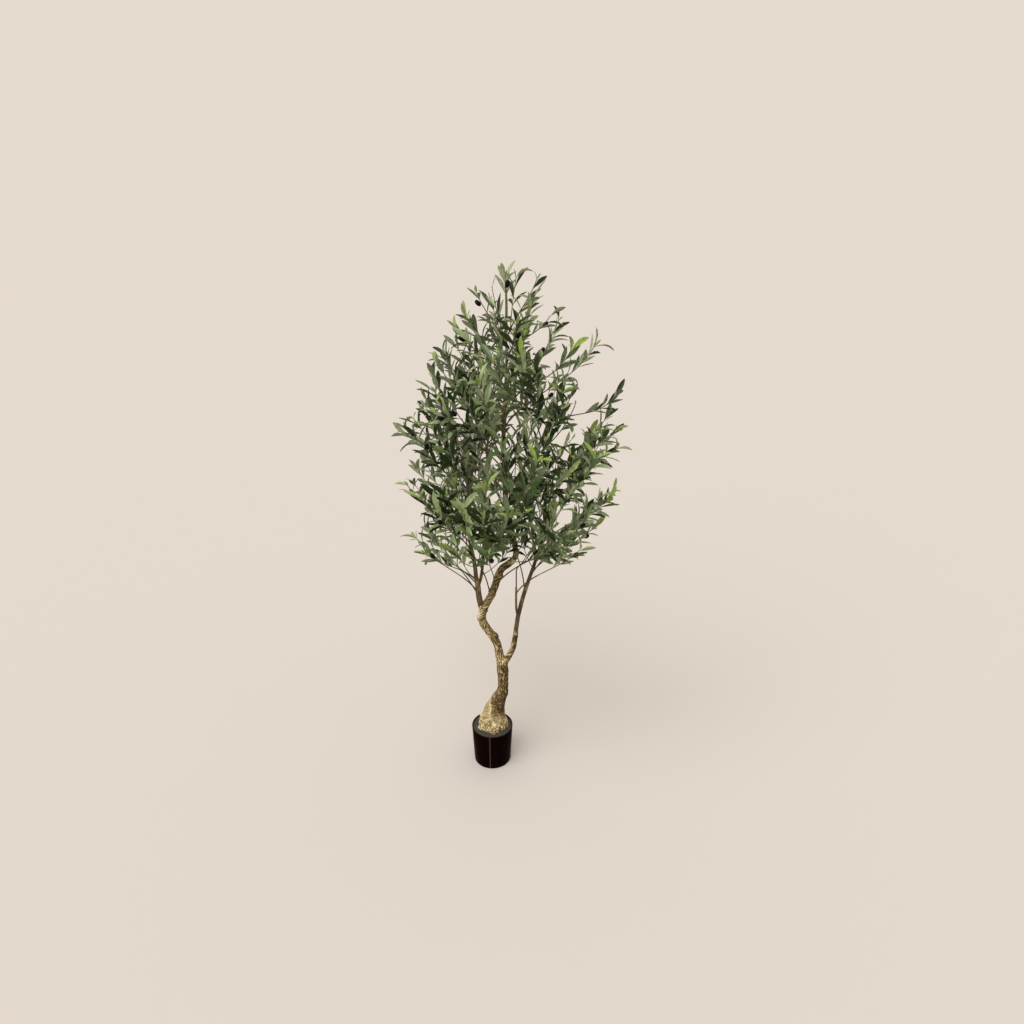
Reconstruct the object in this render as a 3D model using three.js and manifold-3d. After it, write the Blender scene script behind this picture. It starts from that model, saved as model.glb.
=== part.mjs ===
// Artificial olive tree in a black nursery pot, in millimetres, +Z up.
// The origin is the centre of the pot's underside. +X is the side that the lower bough leaves the trunk on,
// and -Y is the front.
import * as THREE from "three";
import { mergeVertices } from "three/addons/utils/BufferGeometryUtils.js";
import Module from "manifold-3d";

const wasm = await Module();
wasm.setup();

// Driving dimensions of the pot and its cast filling
const POT_HEIGHT = 150;
const POT_RIM_RADIUS = 77.5;
const POT_FOOT_RADIUS = 70;
const POT_WALL = 2.2;
const POT_FLOOR = 4;
const POT_EDGE = 3;
const POT_LIP = 1;
const POT_SEGMENTS = 32;
const FILL_DROP = 6;

// Clearance between two pieces that meet, the distance under which two corners are one, and the height under
// which a sliver that a cut leaves is taken away
const GAP = 0.3;
const WELD = 1e-3;
const SLIVER = 0.01;

// Limbs: stations from base to tip, each the place on the limb's axis and its radius there
const FOOT_Z = POT_HEIGHT - FILL_DROP + GAP;
const LIMBS = {
  trunk: [
    [0, 3, FOOT_Z, 63],
    [3, 3, 172, 54],
    [9, 2, 215, 40],
    [22, 0, 258, 29.5],
    [39, -4, 304, 20.5],
    [42, -4, 350, 18.8],
    [40, 0, 400, 20.5],
    [31, 6, 445, 15.5],
    [16, 12, 505, 14.4],
    [-27, 14, 576, 14.8],
    [-33, 10, 610, 15],
    [-22, 4, 652, 14.2],
    [5, -2, 705, 12.8],
    [24, -4, 765, 12.6],
    [38, -2, 799, 12],
    [61, 3, 816, 11.6],
    [84, 6, 834, 11],
  ],
  leader: [
    [72, 4, 825, 9.8],
    [88, 7, 848, 9.8],
    [84, 8, 890, 9.6],
    [71, 6, 956, 9.3],
    [56, 2, 1024, 8.8],
    [51, 0, 1124, 8.4],
    [48, 0, 1234, 7.2],
    [50, 2, 1345, 5.9],
    [57, 3, 1464, 4.6],
    [58, 2, 1590, 3.2],
  ],
  left_bough: [
    [-27, 7, 638, 10.8],
    [-37, 0, 668, 10.6],
    [-42, -9, 706, 10.2],
    [-44, -17, 746, 9.2],
    [-49, -24, 782, 7.4],
    [-52, -32, 830, 6.8],
    [-63, -46, 908, 6.1],
    [-68, -60, 1000, 5.2],
    [-66, -70, 1085, 4.2],
  ],
  left_inner_bough: [
    [-44, -15, 738, 5.6],
    [-34, -6, 765, 5.3],
    [-28, 7, 805, 5.1],
    [-25, 19, 845, 4.9],
    [-24, 38, 900, 4.4],
    [-28, 62, 980, 3.6],
    [-34, 80, 1050, 3],
  ],
  right_stub: [
    [40, 1, 405, 13],
    [55, 4, 433, 12.2],
    [70, 8, 457, 11],
    [81, 12, 487, 10.2],
    [86, 15, 515, 9.6],
    [89, 17, 538, 9.2],
  ],
  right_bough: [
    [88, 16.5, 532, 8.2],
    [93, 20, 574, 8],
    [99, 24, 610, 7.9],
    [120, 36, 691, 7.2],
    [157, 56, 799, 6.2],
    [178, 68, 870, 5.6],
    [197, 80, 950, 5],
    [208, 90, 1030, 4.2],
  ],
  right_inner_bough: [
    [98, 23, 600, 4.6],
    [92, 16, 626, 4.2],
    [90, 6, 664, 3.9],
    [90, -10, 732, 3.6],
  ],
  side_bough: [
    [53, 1, 1070, 4.8],
    [75, 6, 1100, 4.5],
    [118, 20, 1166, 4.2],
    [145, 28, 1197, 4],
    [172, 36, 1247, 3.5],
    [190, 42, 1300, 2.8],
  ],
};
// The limb that each bough is let into
const PARENT = {
  leader: "trunk",
  left_bough: "trunk",
  left_inner_bough: "left_bough",
  right_stub: "trunk",
  right_bough: "right_stub",
  right_inner_bough: "right_bough",
  side_bough: "leader",
};
const TRUNK_SIDES = 14;
const BOUGH_SIDES = 8;
const TRUNK_RING_SPACING = 22;
const BOUGH_RING_SPACING = 36;
const ROOT_LOBES = 5;
const ROOT_LOBE_DEPTH = 0.07;
const ROOT_LOBE_HEIGHT = 110;
const ROOT_LOBE_TWIST = 1 / 40;
const BARK_LUMP = 0.035;
const BARK_LUMP_TWIST = 1 / 17;
const BARK_LUMP_WAVE = 1 / 23;
const FOOT_TRIM = 8;

// Crown outline seen from the front: height, leftmost x and rightmost x of the leaf tips
const OUTLINE = [
  [800, -170, 210],
  [850, -235, 295],
  [935, -298, 376],
  [1120, -320, 464],
  [1330, -314, 460],
  [1420, -236, 447],
  [1580, -168, 374],
  [1660, -122, 246],
  [1760, -20, 175],
  [1800, 8, 100],
];
const CROWN_DEPTH = 0.96;
const CROWN_BOTTOM = 812;

// Tiers of leaf sprays: height of the leaf tips on the left and on the right, sprays in the tier, the turn of
// the first, and how far the rest are drawn in towards the sides
const TIERS = [
  { left: 872, right: 888, sprays: 4, turn: 45, drawn: 20 },
  { left: 940, right: 975, sprays: 8, turn: 0, drawn: 0 },
  { left: 1131, right: 1110, sprays: 8, turn: 0, drawn: 0 },
  { left: 1318, right: 1255, sprays: 8, turn: 0, drawn: 0 },
  { left: 1412, right: 1421, sprays: 6, turn: 0, drawn: 0 },
  { left: 1512, right: 1575, sprays: 6, turn: 0, drawn: 0 },
  { left: 1620, right: 1656, sprays: 4, turn: 20, drawn: 0 },
  { left: 1723, right: 1759, sprays: 2, turn: 0, drawn: 0 },
];
const TOP = new THREE.Vector3(55, 2, 1800);
const LOWEST_SEAT = 690;
const SEAT_STEP = 4;
const SEAT_SPACING = 17;
const END_PULL = 130;
const STEM_POINTS = 48;
const TWIG_POINTS = 12;
const STEM_MARGIN = 7;
const STEM_SLOPE = 0.95;
const STEM_ARCH = 0.16;
const TURN_JITTER = 14;
const TIP_JITTER = 16;

// Stems, side twigs, leaves and fruit of a spray
const STEM_RADIUS = 2.3;
const STEM_TIP_RADIUS = 1.3;
const STEM_STEPS = 5;
const TWIG_RADIUS = 1.1;
const TWIG_TIP_RADIUS = 0.9;
const TWIG_STEPS = 2;
const TWIGS = 2;
const TWIG_FROM = 0.42;
const TWIG_TO = 0.74;
const TWIG_ANGLE = 36;
const TWIG_SHARE = 0.36;
const TWIG_SHORTENING = 0.22;
const STEM_FOLIAGE = { from: 0.3, to: 0.93, leaves: 9, tipLeaves: 2, scale: 1 };
const TWIG_FOLIAGE = { from: 0.3, to: 0.93, leaves: 4, tipLeaves: 1, scale: 0.92 };
const LEAF_LENGTH = 116;
const LEAF_WIDTH = 33;
const LEAF_KEEL = 1.8;
const LEAF_WIDEST = 0.46;
const LEAF_ARCH = 0.09;
const LEAF_CLEARANCE = 19;
const LEAF_ANGLE = 44;
const TIP_LEAF_ANGLE = 24;
const TIP_LEAF_SCALE = 0.86;
const MIDRIB = [0.35, 0.55, 0.75, 1];
const TIP_REACH_OUT = 70;
const TIP_REACH_UP = 38;
const TOP_REACH = 94;
const FRUIT_RADIUS = 7.5;
const FRUIT_LENGTH = 21;
const FRUIT_SHARE = 0.6;
const FRUIT_AT = 0.86;
const OUTLINE_MARGIN = 6;
const SPACE_MARGIN = 1.2;
const LIMB_MARGIN = 2.5;

const UP = new THREE.Vector3(0, 0, 1);
const radians = THREE.MathUtils.degToRad;

// Materials
const finish = (color, roughness) => new THREE.MeshStandardMaterial({ color, roughness, metalness: 0 });
const POT_PLASTIC = finish(0x120c0b, 0.25);
const CAST_FILLING = finish(0x33312e, 0.85);
const FLAKED_BARK = finish(0x9a8155, 0.8);
const SMOOTH_BARK = finish(0x6d5a3c, 0.75);
const LEAF_GREEN = finish(0x46603a, 0.5);

// A number from 0 to 1 that depends only on the whole numbers given
const SEED = 103;
function chance(...keys) {
  let h = SEED;
  for (const key of keys) {
    h = Math.imul(h ^ (key + 1), 0x9e3779b1);
    h ^= h >>> 15;
  }
  h = Math.imul(h, 0x85ebca6b);
  h ^= h >>> 13;
  return (h >>> 0) / 2 ** 32;
}
const spread = (...keys) => 2 * chance(...keys) - 1;

// Turns a closed geometry into a solid that can be joined and cut, and back
function solidOf(geometry) {
  const bare = geometry.clone();
  bare.deleteAttribute("normal");
  bare.deleteAttribute("uv");
  const merged = mergeVertices(bare, WELD);
  const vertProperties = merged.attributes.position.array;
  const triVerts = new Uint32Array(merged.index.array);
  return new wasm.Manifold(new wasm.Mesh({ numProp: 3, vertProperties, triVerts }));
}
function geometryOf(solid) {
  const { vertProperties, triVerts } = solid.getMesh();
  const geometry = new THREE.BufferGeometry();
  geometry.setAttribute("position", new THREE.BufferAttribute(vertProperties, 3));
  geometry.setIndex(new THREE.BufferAttribute(triVerts, 1));
  geometry.computeVertexNormals();
  return geometry;
}
// The largest body of a solid without its slivers: loose scraps and sealed hollows are dropped
function mainBody(solid) {
  const bodies = solid.simplify(SLIVER).decompose();
  return bodies.reduce((a, b) => (b.volume() > a.volume() ? b : a));
}
function named(name, geometry, material) {
  const mesh = new THREE.Mesh(geometry, material);
  mesh.name = name;
  return mesh;
}

// Pot: a slightly tapered moulded shell, open at the top
function potGeometry() {
  const innerRim = POT_RIM_RADIUS - POT_WALL;
  const innerFoot = POT_FOOT_RADIUS - POT_WALL;
  const profile = [
    [0, 0],
    [POT_FOOT_RADIUS - POT_EDGE, 0],
    [POT_FOOT_RADIUS - POT_EDGE * 0.25, POT_EDGE * 0.25],
    [POT_FOOT_RADIUS, POT_EDGE],
    [POT_RIM_RADIUS, POT_HEIGHT - POT_LIP],
    [POT_RIM_RADIUS - POT_LIP * 0.6, POT_HEIGHT],
    [innerRim + POT_LIP * 0.6, POT_HEIGHT],
    [innerRim, POT_HEIGHT - POT_LIP],
    [innerFoot, POT_FLOOR],
    [0, POT_FLOOR],
  ];
  return new THREE.LatheGeometry(profile.map(([r, z]) => new THREE.Vector2(r, z)), POT_SEGMENTS);
}

// Filling: one cast plug that follows the pot's inside, its flat top just under the rim
function fillGeometry() {
  const inset = POT_WALL + 2 * GAP;
  const wallAt = (z) => THREE.MathUtils.lerp(POT_FOOT_RADIUS, POT_RIM_RADIUS, z / POT_HEIGHT) - inset;
  const floor = POT_FLOOR + GAP;
  const top = POT_HEIGHT - FILL_DROP;
  const profile = [
    [0, floor],
    [wallAt(floor), floor],
    [wallAt(top), top],
    [0, top],
  ];
  return new THREE.LatheGeometry(profile.map(([r, z]) => new THREE.Vector2(r, z)), POT_SEGMENTS);
}

// A smooth axis and radius through a limb's stations
function limbCurves(stations) {
  const axis = new THREE.CatmullRomCurve3(
    stations.map(([x, y, z]) => new THREE.Vector3(x, y, z)), false, "catmullrom", 0.5);
  const taper = new THREE.CatmullRomCurve3(
    stations.map((station) => new THREE.Vector3(station[3], 0, 0)), false, "catmullrom", 0.5);
  return { axis, taper };
}

// Bends a closed cylinder along a curve: radiusAt gives the radius for a place on the curve and an angle round
// it, and grow thickens the result all round, ends too
function bent(axis, sides, steps, radiusAt, grow = 0) {
  const geometry = new THREE.CylinderGeometry(1, 1, 1, sides, steps);
  const { tangents, normals, binormals } = axis.computeFrenetFrames(steps, false);
  const position = geometry.attributes.position;
  const point = new THREE.Vector3();
  for (let i = 0; i < position.count; i++) {
    const [x, y, z] = [position.getX(i), position.getY(i), position.getZ(i)];
    const step = Math.round((y + 0.5) * steps);
    const t = axis.getUtoTmapping(step / steps);
    const r = radiusAt(t, Math.atan2(x, z)) + grow;
    axis.getPoint(t, point);
    point.addScaledVector(binormals[step], x * r).addScaledVector(normals[step], z * r);
    if (step === 0) point.addScaledVector(tangents[step], -grow);
    if (step === steps) point.addScaledVector(tangents[step], grow);
    position.setXYZ(i, point.x, point.y, point.z);
  }
  return geometry;
}

// A limb with its lumps and, on the trunk, the root lobes and the flat cut at the filling
function limbGeometry(name, grow = 0) {
  const { axis, taper } = limbCurves(LIMBS[name]);
  const isTrunk = name === "trunk";
  const steps = Math.round(axis.getLength() / (isTrunk ? TRUNK_RING_SPACING : BOUGH_RING_SPACING));
  const radiusAt = (t, angle) => {
    const z = axis.getPoint(t).z;
    const root = isTrunk ? Math.max(0, 1 - (z - FOOT_Z) / ROOT_LOBE_HEIGHT) : 0;
    const lobes = ROOT_LOBE_DEPTH * root * Math.cos(ROOT_LOBES * angle + z * ROOT_LOBE_TWIST);
    const lumps = BARK_LUMP * Math.sin(2 * angle + z * BARK_LUMP_TWIST) * Math.sin(z * BARK_LUMP_WAVE);
    return taper.getPoint(t).x * (1 + lobes + lumps);
  };
  const geometry = bent(axis, isTrunk ? TRUNK_SIDES : BOUGH_SIDES, steps, radiusAt, grow);
  if (isTrunk && !grow) {
    const position = geometry.attributes.position;
    for (let i = 0; i < position.count; i++) {
      if (position.getZ(i) < FOOT_Z + FOOT_TRIM) position.setZ(i, FOOT_Z);
    }
  }
  return geometry;
}

const limbSolids = {};
const swollenLimbs = {};
for (const name of Object.keys(LIMBS)) {
  swollenLimbs[name] = solidOf(limbGeometry(name, GAP));
  const whole = solidOf(limbGeometry(name));
  limbSolids[name] = name in PARENT ? mainBody(whole.subtract(swollenLimbs[PARENT[name]])) : whole;
}

// Points along every limb's axis, with the radius there, for seats and clearances
const LIMB_POINTS = Object.keys(LIMBS).flatMap((limb) => {
  const { axis, taper } = limbCurves(LIMBS[limb]);
  const count = Math.round(axis.getLength() / SEAT_STEP);
  return Array.from({ length: count + 1 }, (_, i) => {
    return { limb, at: axis.getPoint(i / count), radius: taper.getPoint(i / count).x, isEnd: i === count };
  });
});

// Reach of the leaf tips at a height: the crown's middle and half width there
function outlineAt(z) {
  const last = OUTLINE.length - 1;
  const above = OUTLINE.findIndex((row) => row[0] >= z);
  const i = above < 0 ? last : Math.max(1, above);
  const [[z0, l0, r0], [z1, l1, r1]] = [OUTLINE[i - 1], OUTLINE[i]];
  const share = THREE.MathUtils.clamp((z - z0) / (z1 - z0), 0, 1);
  const left = THREE.MathUtils.lerp(l0, l1, share);
  const right = THREE.MathUtils.lerp(r0, r1, share);
  return { middle: (left + right) / 2, half: (right - left) / 2 };
}

// The stem tips, tier by tier. Each stops short of the outline by the reach of its last leaves.
function stemTips() {
  const tips = [];
  TIERS.forEach(({ left, right, sprays, turn, drawn }, tier) => {
    for (let k = 0; k < sprays; k++) {
      const even = radians((k * 360) / sprays + turn);
      const inPlane = Math.abs(Math.sin(even)) < 1e-6;
      const jitter = inPlane ? 0 : TURN_JITTER * spread(tier, k, 1);
      const azimuth = even + radians(jitter - drawn * Math.sin(2 * even));
      const side = (1 + Math.cos(azimuth)) / 2;
      const leafTip = THREE.MathUtils.lerp(left, right, side) + TIP_JITTER * spread(tier, k, 2) * !inPlane;
      const { middle, half } = outlineAt(leafTip);
      const reach = half - TIP_REACH_OUT;
      tips.push(new THREE.Vector3(
        middle + reach * Math.cos(azimuth),
        reach * CROWN_DEPTH * Math.sin(azimuth),
        leafTip - TIP_REACH_UP));
    }
  });
  return tips;
}

// A spray's stem leaves its seat steeply and arches over towards its tip
function stemCurve(seat, tip) {
  const lift = STEM_ARCH * seat.distanceTo(tip);
  const bend = seat.clone().lerp(tip, 0.5).addScaledVector(UP, lift);
  return new THREE.QuadraticBezierCurve3(seat, bend, tip);
}

// Plants a spray: of the free places on the limbs from which a clear stem can rise to this tip, it takes the one
// where the stem is short and rises nearest to the usual slope, and a limb's own end before a place along it
const sprays = [];
function plant(tip, places) {
  const cost = ({ at, isEnd }) => {
    const plan = Math.hypot(tip.x - at.x, tip.y - at.y);
    return 2 * Math.abs(tip.z - at.z - STEM_SLOPE * plan) + plan - isEnd * END_PULL;
  };
  const isFree = ({ limb, at }) => sprays.every(({ seat }) => {
    return seat.limb !== limb || Math.abs(seat.at.z - at.z) >= SEAT_SPACING;
  });
  const pointsOutside = ({ at, radius }) => {
    return stemCurve(at, tip).getPoints(STEM_POINTS).filter((p) => p.distanceTo(at) > radius);
  };
  const isClear = (seat) => {
    const points = pointsOutside(seat);
    const clearOf = (at, distance) => points.every((p) => p.distanceTo(at) > distance);
    return LIMB_POINTS.every(({ limb, at, radius }) => limb === seat.limb || clearOf(at, radius + STEM_MARGIN))
      && sprays.every((other) => other.points.every((at) => clearOf(at, STEM_MARGIN)));
  };
  const ordered = places.filter(isFree).sort((a, b) => cost(a) - cost(b));
  const seat = ordered.find(isClear);
  sprays.push({ seat, curve: stemCurve(seat.at, tip), points: pointsOutside(seat) });
}
const seats = LIMB_POINTS.filter(({ at }) => at.z >= LOWEST_SEAT);
const leaderEnd = seats.filter(({ limb, isEnd }) => limb === "leader" && isEnd);
plant(TOP.clone().addScaledVector(UP, -TOP_REACH), leaderEnd);
for (const tip of stemTips()) plant(tip, seats);

// True where a point is inside the crown's outline
function insideCrown({ x, y, z }) {
  const { middle, half } = outlineAt(z);
  const isLevel = z >= CROWN_BOTTOM && z <= TOP.z;
  return isLevel && Math.hypot(x - middle, y / CROWN_DEPTH) < half + OUTLINE_MARGIN;
}

// True where every point is in the spray's own space, nearer its stem than any other, and clear of the limbs
function keepsToSpace(index, points) {
  const nearest = (spray, p) => Math.sqrt(Math.min(...spray.points.map((q) => q.distanceToSquared(p))));
  return points.every((p) => {
    if (!insideCrown(p)) return false;
    const own = nearest(sprays[index], p) + SPACE_MARGIN;
    if (LIMB_POINTS.some(({ at, radius }) => at.distanceTo(p) < radius + LIMB_MARGIN)) return false;
    return sprays.every((other, i) => i === index || nearest(other, p) > own);
  });
}

// Directions square to a curve's run, in even steps along it
const FRAMES = 24;
function framed(curve) {
  return { curve, frames: curve.computeFrenetFrames(FRAMES, false) };
}
function frameAt({ curve, frames }, u) {
  const step = Math.round(u * FRAMES);
  const at = curve.getPointAt(step / FRAMES);
  return { at, run: frames.tangents[step], over: frames.normals[step], side: frames.binormals[step] };
}
// The way out through the middle of one of a three-sided twig's faces
function outThrough({ over, side }, face) {
  const roll = (Math.PI * (2 * face + 1)) / 3;
  return side.clone().multiplyScalar(Math.sin(roll)).addScaledVector(over, Math.cos(roll));
}

// A leaf: a three-sided blade, flat on top and keeled below, arched between its sunk root and its tip
function leafGeometry(root, along, face, length) {
  const geometry = new THREE.SphereGeometry(1, 3, 2);
  const position = geometry.attributes.position;
  const across = new THREE.Vector3().crossVectors(face, along);
  const half = (LEAF_WIDTH / 2) * (length / LEAF_LENGTH);
  const runs = [0, LEAF_WIDEST * length, length];
  const point = new THREE.Vector3();
  for (let i = 0; i < position.count; i++) {
    const stage = Math.round(position.getY(i)) + 1;
    const isRim = stage === 1;
    const lift = isRim * (LEAF_ARCH * length - (position.getX(i) < 0 ? LEAF_KEEL : 0));
    point.copy(root).addScaledVector(along, runs[stage]).addScaledVector(face, lift);
    point.addScaledVector(across, isRim * Math.sign(Math.round(position.getZ(i))) * half);
    position.setXYZ(i, point.x, point.y, point.z);
  }
  return geometry;
}

// A leaf on the first of the twig's faces, in turn, where it keeps to the spray's space and crosses nothing
// in the spray, or null. Its upper side looks out of the crown. A leaf that is placed adds the points of its
// midrib to those the spray fills.
function leafOn(index, filled, frame, firstFace, angle, length) {
  const { at, run } = frame;
  for (let turn = 0; turn < 3; turn++) {
    const out = outThrough(frame, firstFace + turn);
    const along = run.clone().multiplyScalar(Math.cos(angle)).addScaledVector(out, Math.sin(angle));
    const face = new THREE.Vector3(at.x - TOP.x, at.y - TOP.y, 0).normalize();
    face.addScaledVector(along, -face.dot(along)).normalize();
    const geometry = leafGeometry(at, along, face, length);
    const midrib = MIDRIB.map((t) => at.clone().addScaledVector(along, t * length));
    const { array, count } = geometry.attributes.position;
    const corners = Array.from({ length: count }, (_, i) => new THREE.Vector3().fromArray(array, 3 * i));
    const tested = [...corners, ...midrib].filter((p) => p.distanceTo(at) > LEAF_WIDTH / 2);
    const crosses = midrib.some((p) => filled.some((q) => p.distanceTo(q) < LEAF_CLEARANCE));
    if (!crosses && keepsToSpace(index, tested)) {
      filled.push(...midrib);
      return geometry;
    }
  }
  return null;
}

// The last leaves round a stem's or twig's tip, then those along it, on its faces in turn
function leavesAlong(index, filled, twig, framedTwig, { from, to, leaves, tipLeaves, scale }) {
  const placed = [];
  for (let k = 0; k < tipLeaves; k++) {
    const frame = frameAt(framedTwig, 1 - 1 / FRAMES);
    const angle = radians(TIP_LEAF_ANGLE + 5 * spread(index, twig, k, 8));
    placed.push(leafOn(index, filled, frame, k + index, angle, LEAF_LENGTH * scale * TIP_LEAF_SCALE));
  }
  for (let k = 0; k < leaves; k++) {
    const frame = frameAt(framedTwig, from + ((to - from) * (k + 0.3 * chance(index, twig, k, 3))) / leaves);
    const angle = radians(LEAF_ANGLE + 9 * spread(index, twig, k, 5));
    const length = LEAF_LENGTH * scale * (1 + 0.12 * spread(index, twig, k, 6));
    placed.push(leafOn(index, filled, frame, 2 * k + twig, angle, length));
  }
  return placed.filter(Boolean);
}

// A side twig leaves the stem at an angle and bends back towards the stem's own run
function twigCurve(index, framedStem, k) {
  const share = (k + 0.5 * chance(index, k, 9)) / (TWIGS - 1);
  const frame = frameAt(framedStem, THREE.MathUtils.lerp(TWIG_FROM, TWIG_TO, share));
  const { at, run } = frame;
  const out = outThrough(frame, k + index);
  const angle = radians(TWIG_ANGLE);
  const full = framedStem.curve.getLength() * TWIG_SHARE;
  const length = full * (1 - TWIG_SHORTENING * k) * (1 + 0.15 * spread(index, k, 11));
  const way = run.clone().multiplyScalar(Math.cos(angle)).addScaledVector(out, Math.sin(angle));
  const bend = at.clone().addScaledVector(way, length * 0.5);
  const end = bend.clone().addScaledVector(run, length * 0.3).addScaledVector(way, length * 0.25);
  return new THREE.QuadraticBezierCurve3(at, bend, end);
}

// An olive that hangs against the stem near its tip
function fruitGeometry(index, framedStem) {
  const frame = frameAt(framedStem, FRUIT_AT);
  const geometry = new THREE.SphereGeometry(1, 5, 3);
  geometry.scale(FRUIT_RADIUS, FRUIT_LENGTH / 2, FRUIT_RADIUS).rotateX(Math.PI / 2);
  const out = outThrough(frame, index).setZ(0).normalize();
  const centre = frame.at.clone().addScaledVector(out, FRUIT_RADIUS * 0.85);
  centre.z -= FRUIT_LENGTH * 0.2;
  return geometry.translate(centre.x, centre.y, centre.z);
}

// One spray: its stem, side twigs, leaves and fruit fused, and cut clear of the limb that it is seated on
function spraySolid({ seat, curve }, index) {
  const tapering = (from, to) => (t) => THREE.MathUtils.lerp(from, to, t);
  const pieces = [bent(curve, 3, STEM_STEPS, tapering(STEM_RADIUS, STEM_TIP_RADIUS))];
  const filled = curve.getPoints(STEM_POINTS);
  const stem = framed(curve);
  const twigs = Array.from({ length: TWIGS }, (_, k) => framed(twigCurve(index, stem, k)));
  const kept = twigs.filter((twig) => keepsToSpace(index, twig.curve.getPoints(TWIG_POINTS).slice(3)));
  for (const twig of kept) {
    pieces.push(bent(twig.curve, 3, TWIG_STEPS, tapering(TWIG_RADIUS, TWIG_TIP_RADIUS)));
    filled.push(...twig.curve.getPoints(TWIG_POINTS));
  }
  pieces.push(...leavesAlong(index, filled, 0, stem, STEM_FOLIAGE));
  kept.forEach((twig, k) => pieces.push(...leavesAlong(index, filled, k + 1, twig, TWIG_FOLIAGE)));
  if (chance(index, 13) < FRUIT_SHARE) pieces.push(fruitGeometry(index, stem));
  const fused = pieces.map(solidOf).reduce((whole, piece) => whole.add(piece));
  return mainBody(fused.subtract(swollenLimbs[seat.limb]));
}

// The tree: pot and filling, limbs, and the sprays that make the crown
const tree = new THREE.Group();
const potted = new THREE.Group();
potted.rotation.x = Math.PI / 2;
potted.add(named("pot", potGeometry(), POT_PLASTIC), named("pot_fill", fillGeometry(), CAST_FILLING));
const limbs = new THREE.Group();
for (const [name, solid] of Object.entries(limbSolids)) {
  const flaked = name === "trunk" || name === "right_stub";
  limbs.add(named(name, geometryOf(solid), flaked ? FLAKED_BARK : SMOOTH_BARK));
}
const crown = new THREE.Group();
sprays.forEach((spray, index) => {
  const number = String(index + 1).padStart(2, "0");
  crown.add(named(`spray_${number}`, geometryOf(spraySolid(spray, index)), LEAF_GREEN));
});
tree.add(potted, limbs, crown);

export default tree;
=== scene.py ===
# Artificial olive tree in a black nursery pot, in metres, +Z up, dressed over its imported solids.
# The origin is the centre of the pot's underside, +X is the side of the lower bough, and -Y is the front.
import math

import bpy
import numpy as np
from mathutils import Matrix


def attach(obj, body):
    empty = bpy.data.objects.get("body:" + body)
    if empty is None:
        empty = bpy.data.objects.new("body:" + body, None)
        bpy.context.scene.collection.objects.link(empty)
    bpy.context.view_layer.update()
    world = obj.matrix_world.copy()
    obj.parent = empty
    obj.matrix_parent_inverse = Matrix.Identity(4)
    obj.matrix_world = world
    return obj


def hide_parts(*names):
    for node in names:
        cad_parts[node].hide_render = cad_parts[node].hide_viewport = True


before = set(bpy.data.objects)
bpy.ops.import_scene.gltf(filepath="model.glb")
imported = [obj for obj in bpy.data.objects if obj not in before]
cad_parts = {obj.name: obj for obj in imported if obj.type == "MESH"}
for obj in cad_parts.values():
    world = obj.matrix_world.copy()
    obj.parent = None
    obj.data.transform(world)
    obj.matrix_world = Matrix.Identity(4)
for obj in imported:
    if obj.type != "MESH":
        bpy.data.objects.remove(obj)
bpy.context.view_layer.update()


# Pot: a nursery pot injection moulded in glossy black plastic, thin walled and slightly tapered. The mould
# rounds its lip and its foot, leaves a faint parting line down two sides, and adds a low foot ring. The pale
# streak along the parting line is a painted highlight.
POT_HEIGHT = 0.150
POT_RIM_RADIUS = 0.0775
POT_FOOT_RADIUS = 0.070
POT_WALL = 0.0022
POT_FLOOR = 0.004
POT_EDGE = 0.003
FOOT_RING_WIDTH = 0.006
FOOT_RING_HEIGHT = 0.0012
POT_SEGMENTS = 128
# Square to the plane in which the mould's halves part, and how far from it the painted highlight fades out
PARTING_ASIDE = (0.995, -0.101, 0.0)
PARTING_HIGHLIGHT_FADE = (0.0006, 0.0030)


def arc(centre, radius, start, end, steps):
    """Points of a profile's rounding, as (radius, height), between two angles in degrees."""
    angles = np.radians(np.linspace(start, end, steps))
    return [(centre[0] + radius * math.cos(a), centre[1] + radius * math.sin(a)) for a in angles]


def closed_skin(rings, first, last):
    """Vertices and faces of a closed body: rings of points joined up between a first and a last point."""
    count, sides, _ = rings.shape
    vertices = np.vstack([[first], rings.reshape(-1, 3), [last]])
    at = lambda ring, i: 1 + ring * sides + i % sides
    faces = []
    for i in range(sides):
        faces.append((0, at(0, i + 1), at(0, i)))
        faces.extend((at(k, i), at(k, i + 1), at(k + 1, i + 1), at(k + 1, i)) for k in range(count - 1))
        faces.append((len(vertices) - 1, at(count - 1, i), at(count - 1, i + 1)))
    return vertices, faces


def turned(profile, segments):
    """Vertices and faces of a body turned about Z. Its profile starts and ends on the axis."""
    radius, height = np.array(profile[1:-1]).T
    angles = 2 * math.pi * np.arange(segments) / segments
    x, y = np.outer(radius, np.cos(angles)), np.outer(radius, np.sin(angles))
    rings = np.stack([x, y, np.outer(height, np.ones(segments))], -1)
    return closed_skin(rings, (0, 0, profile[0][1]), (0, 0, profile[-1][1]))


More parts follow.
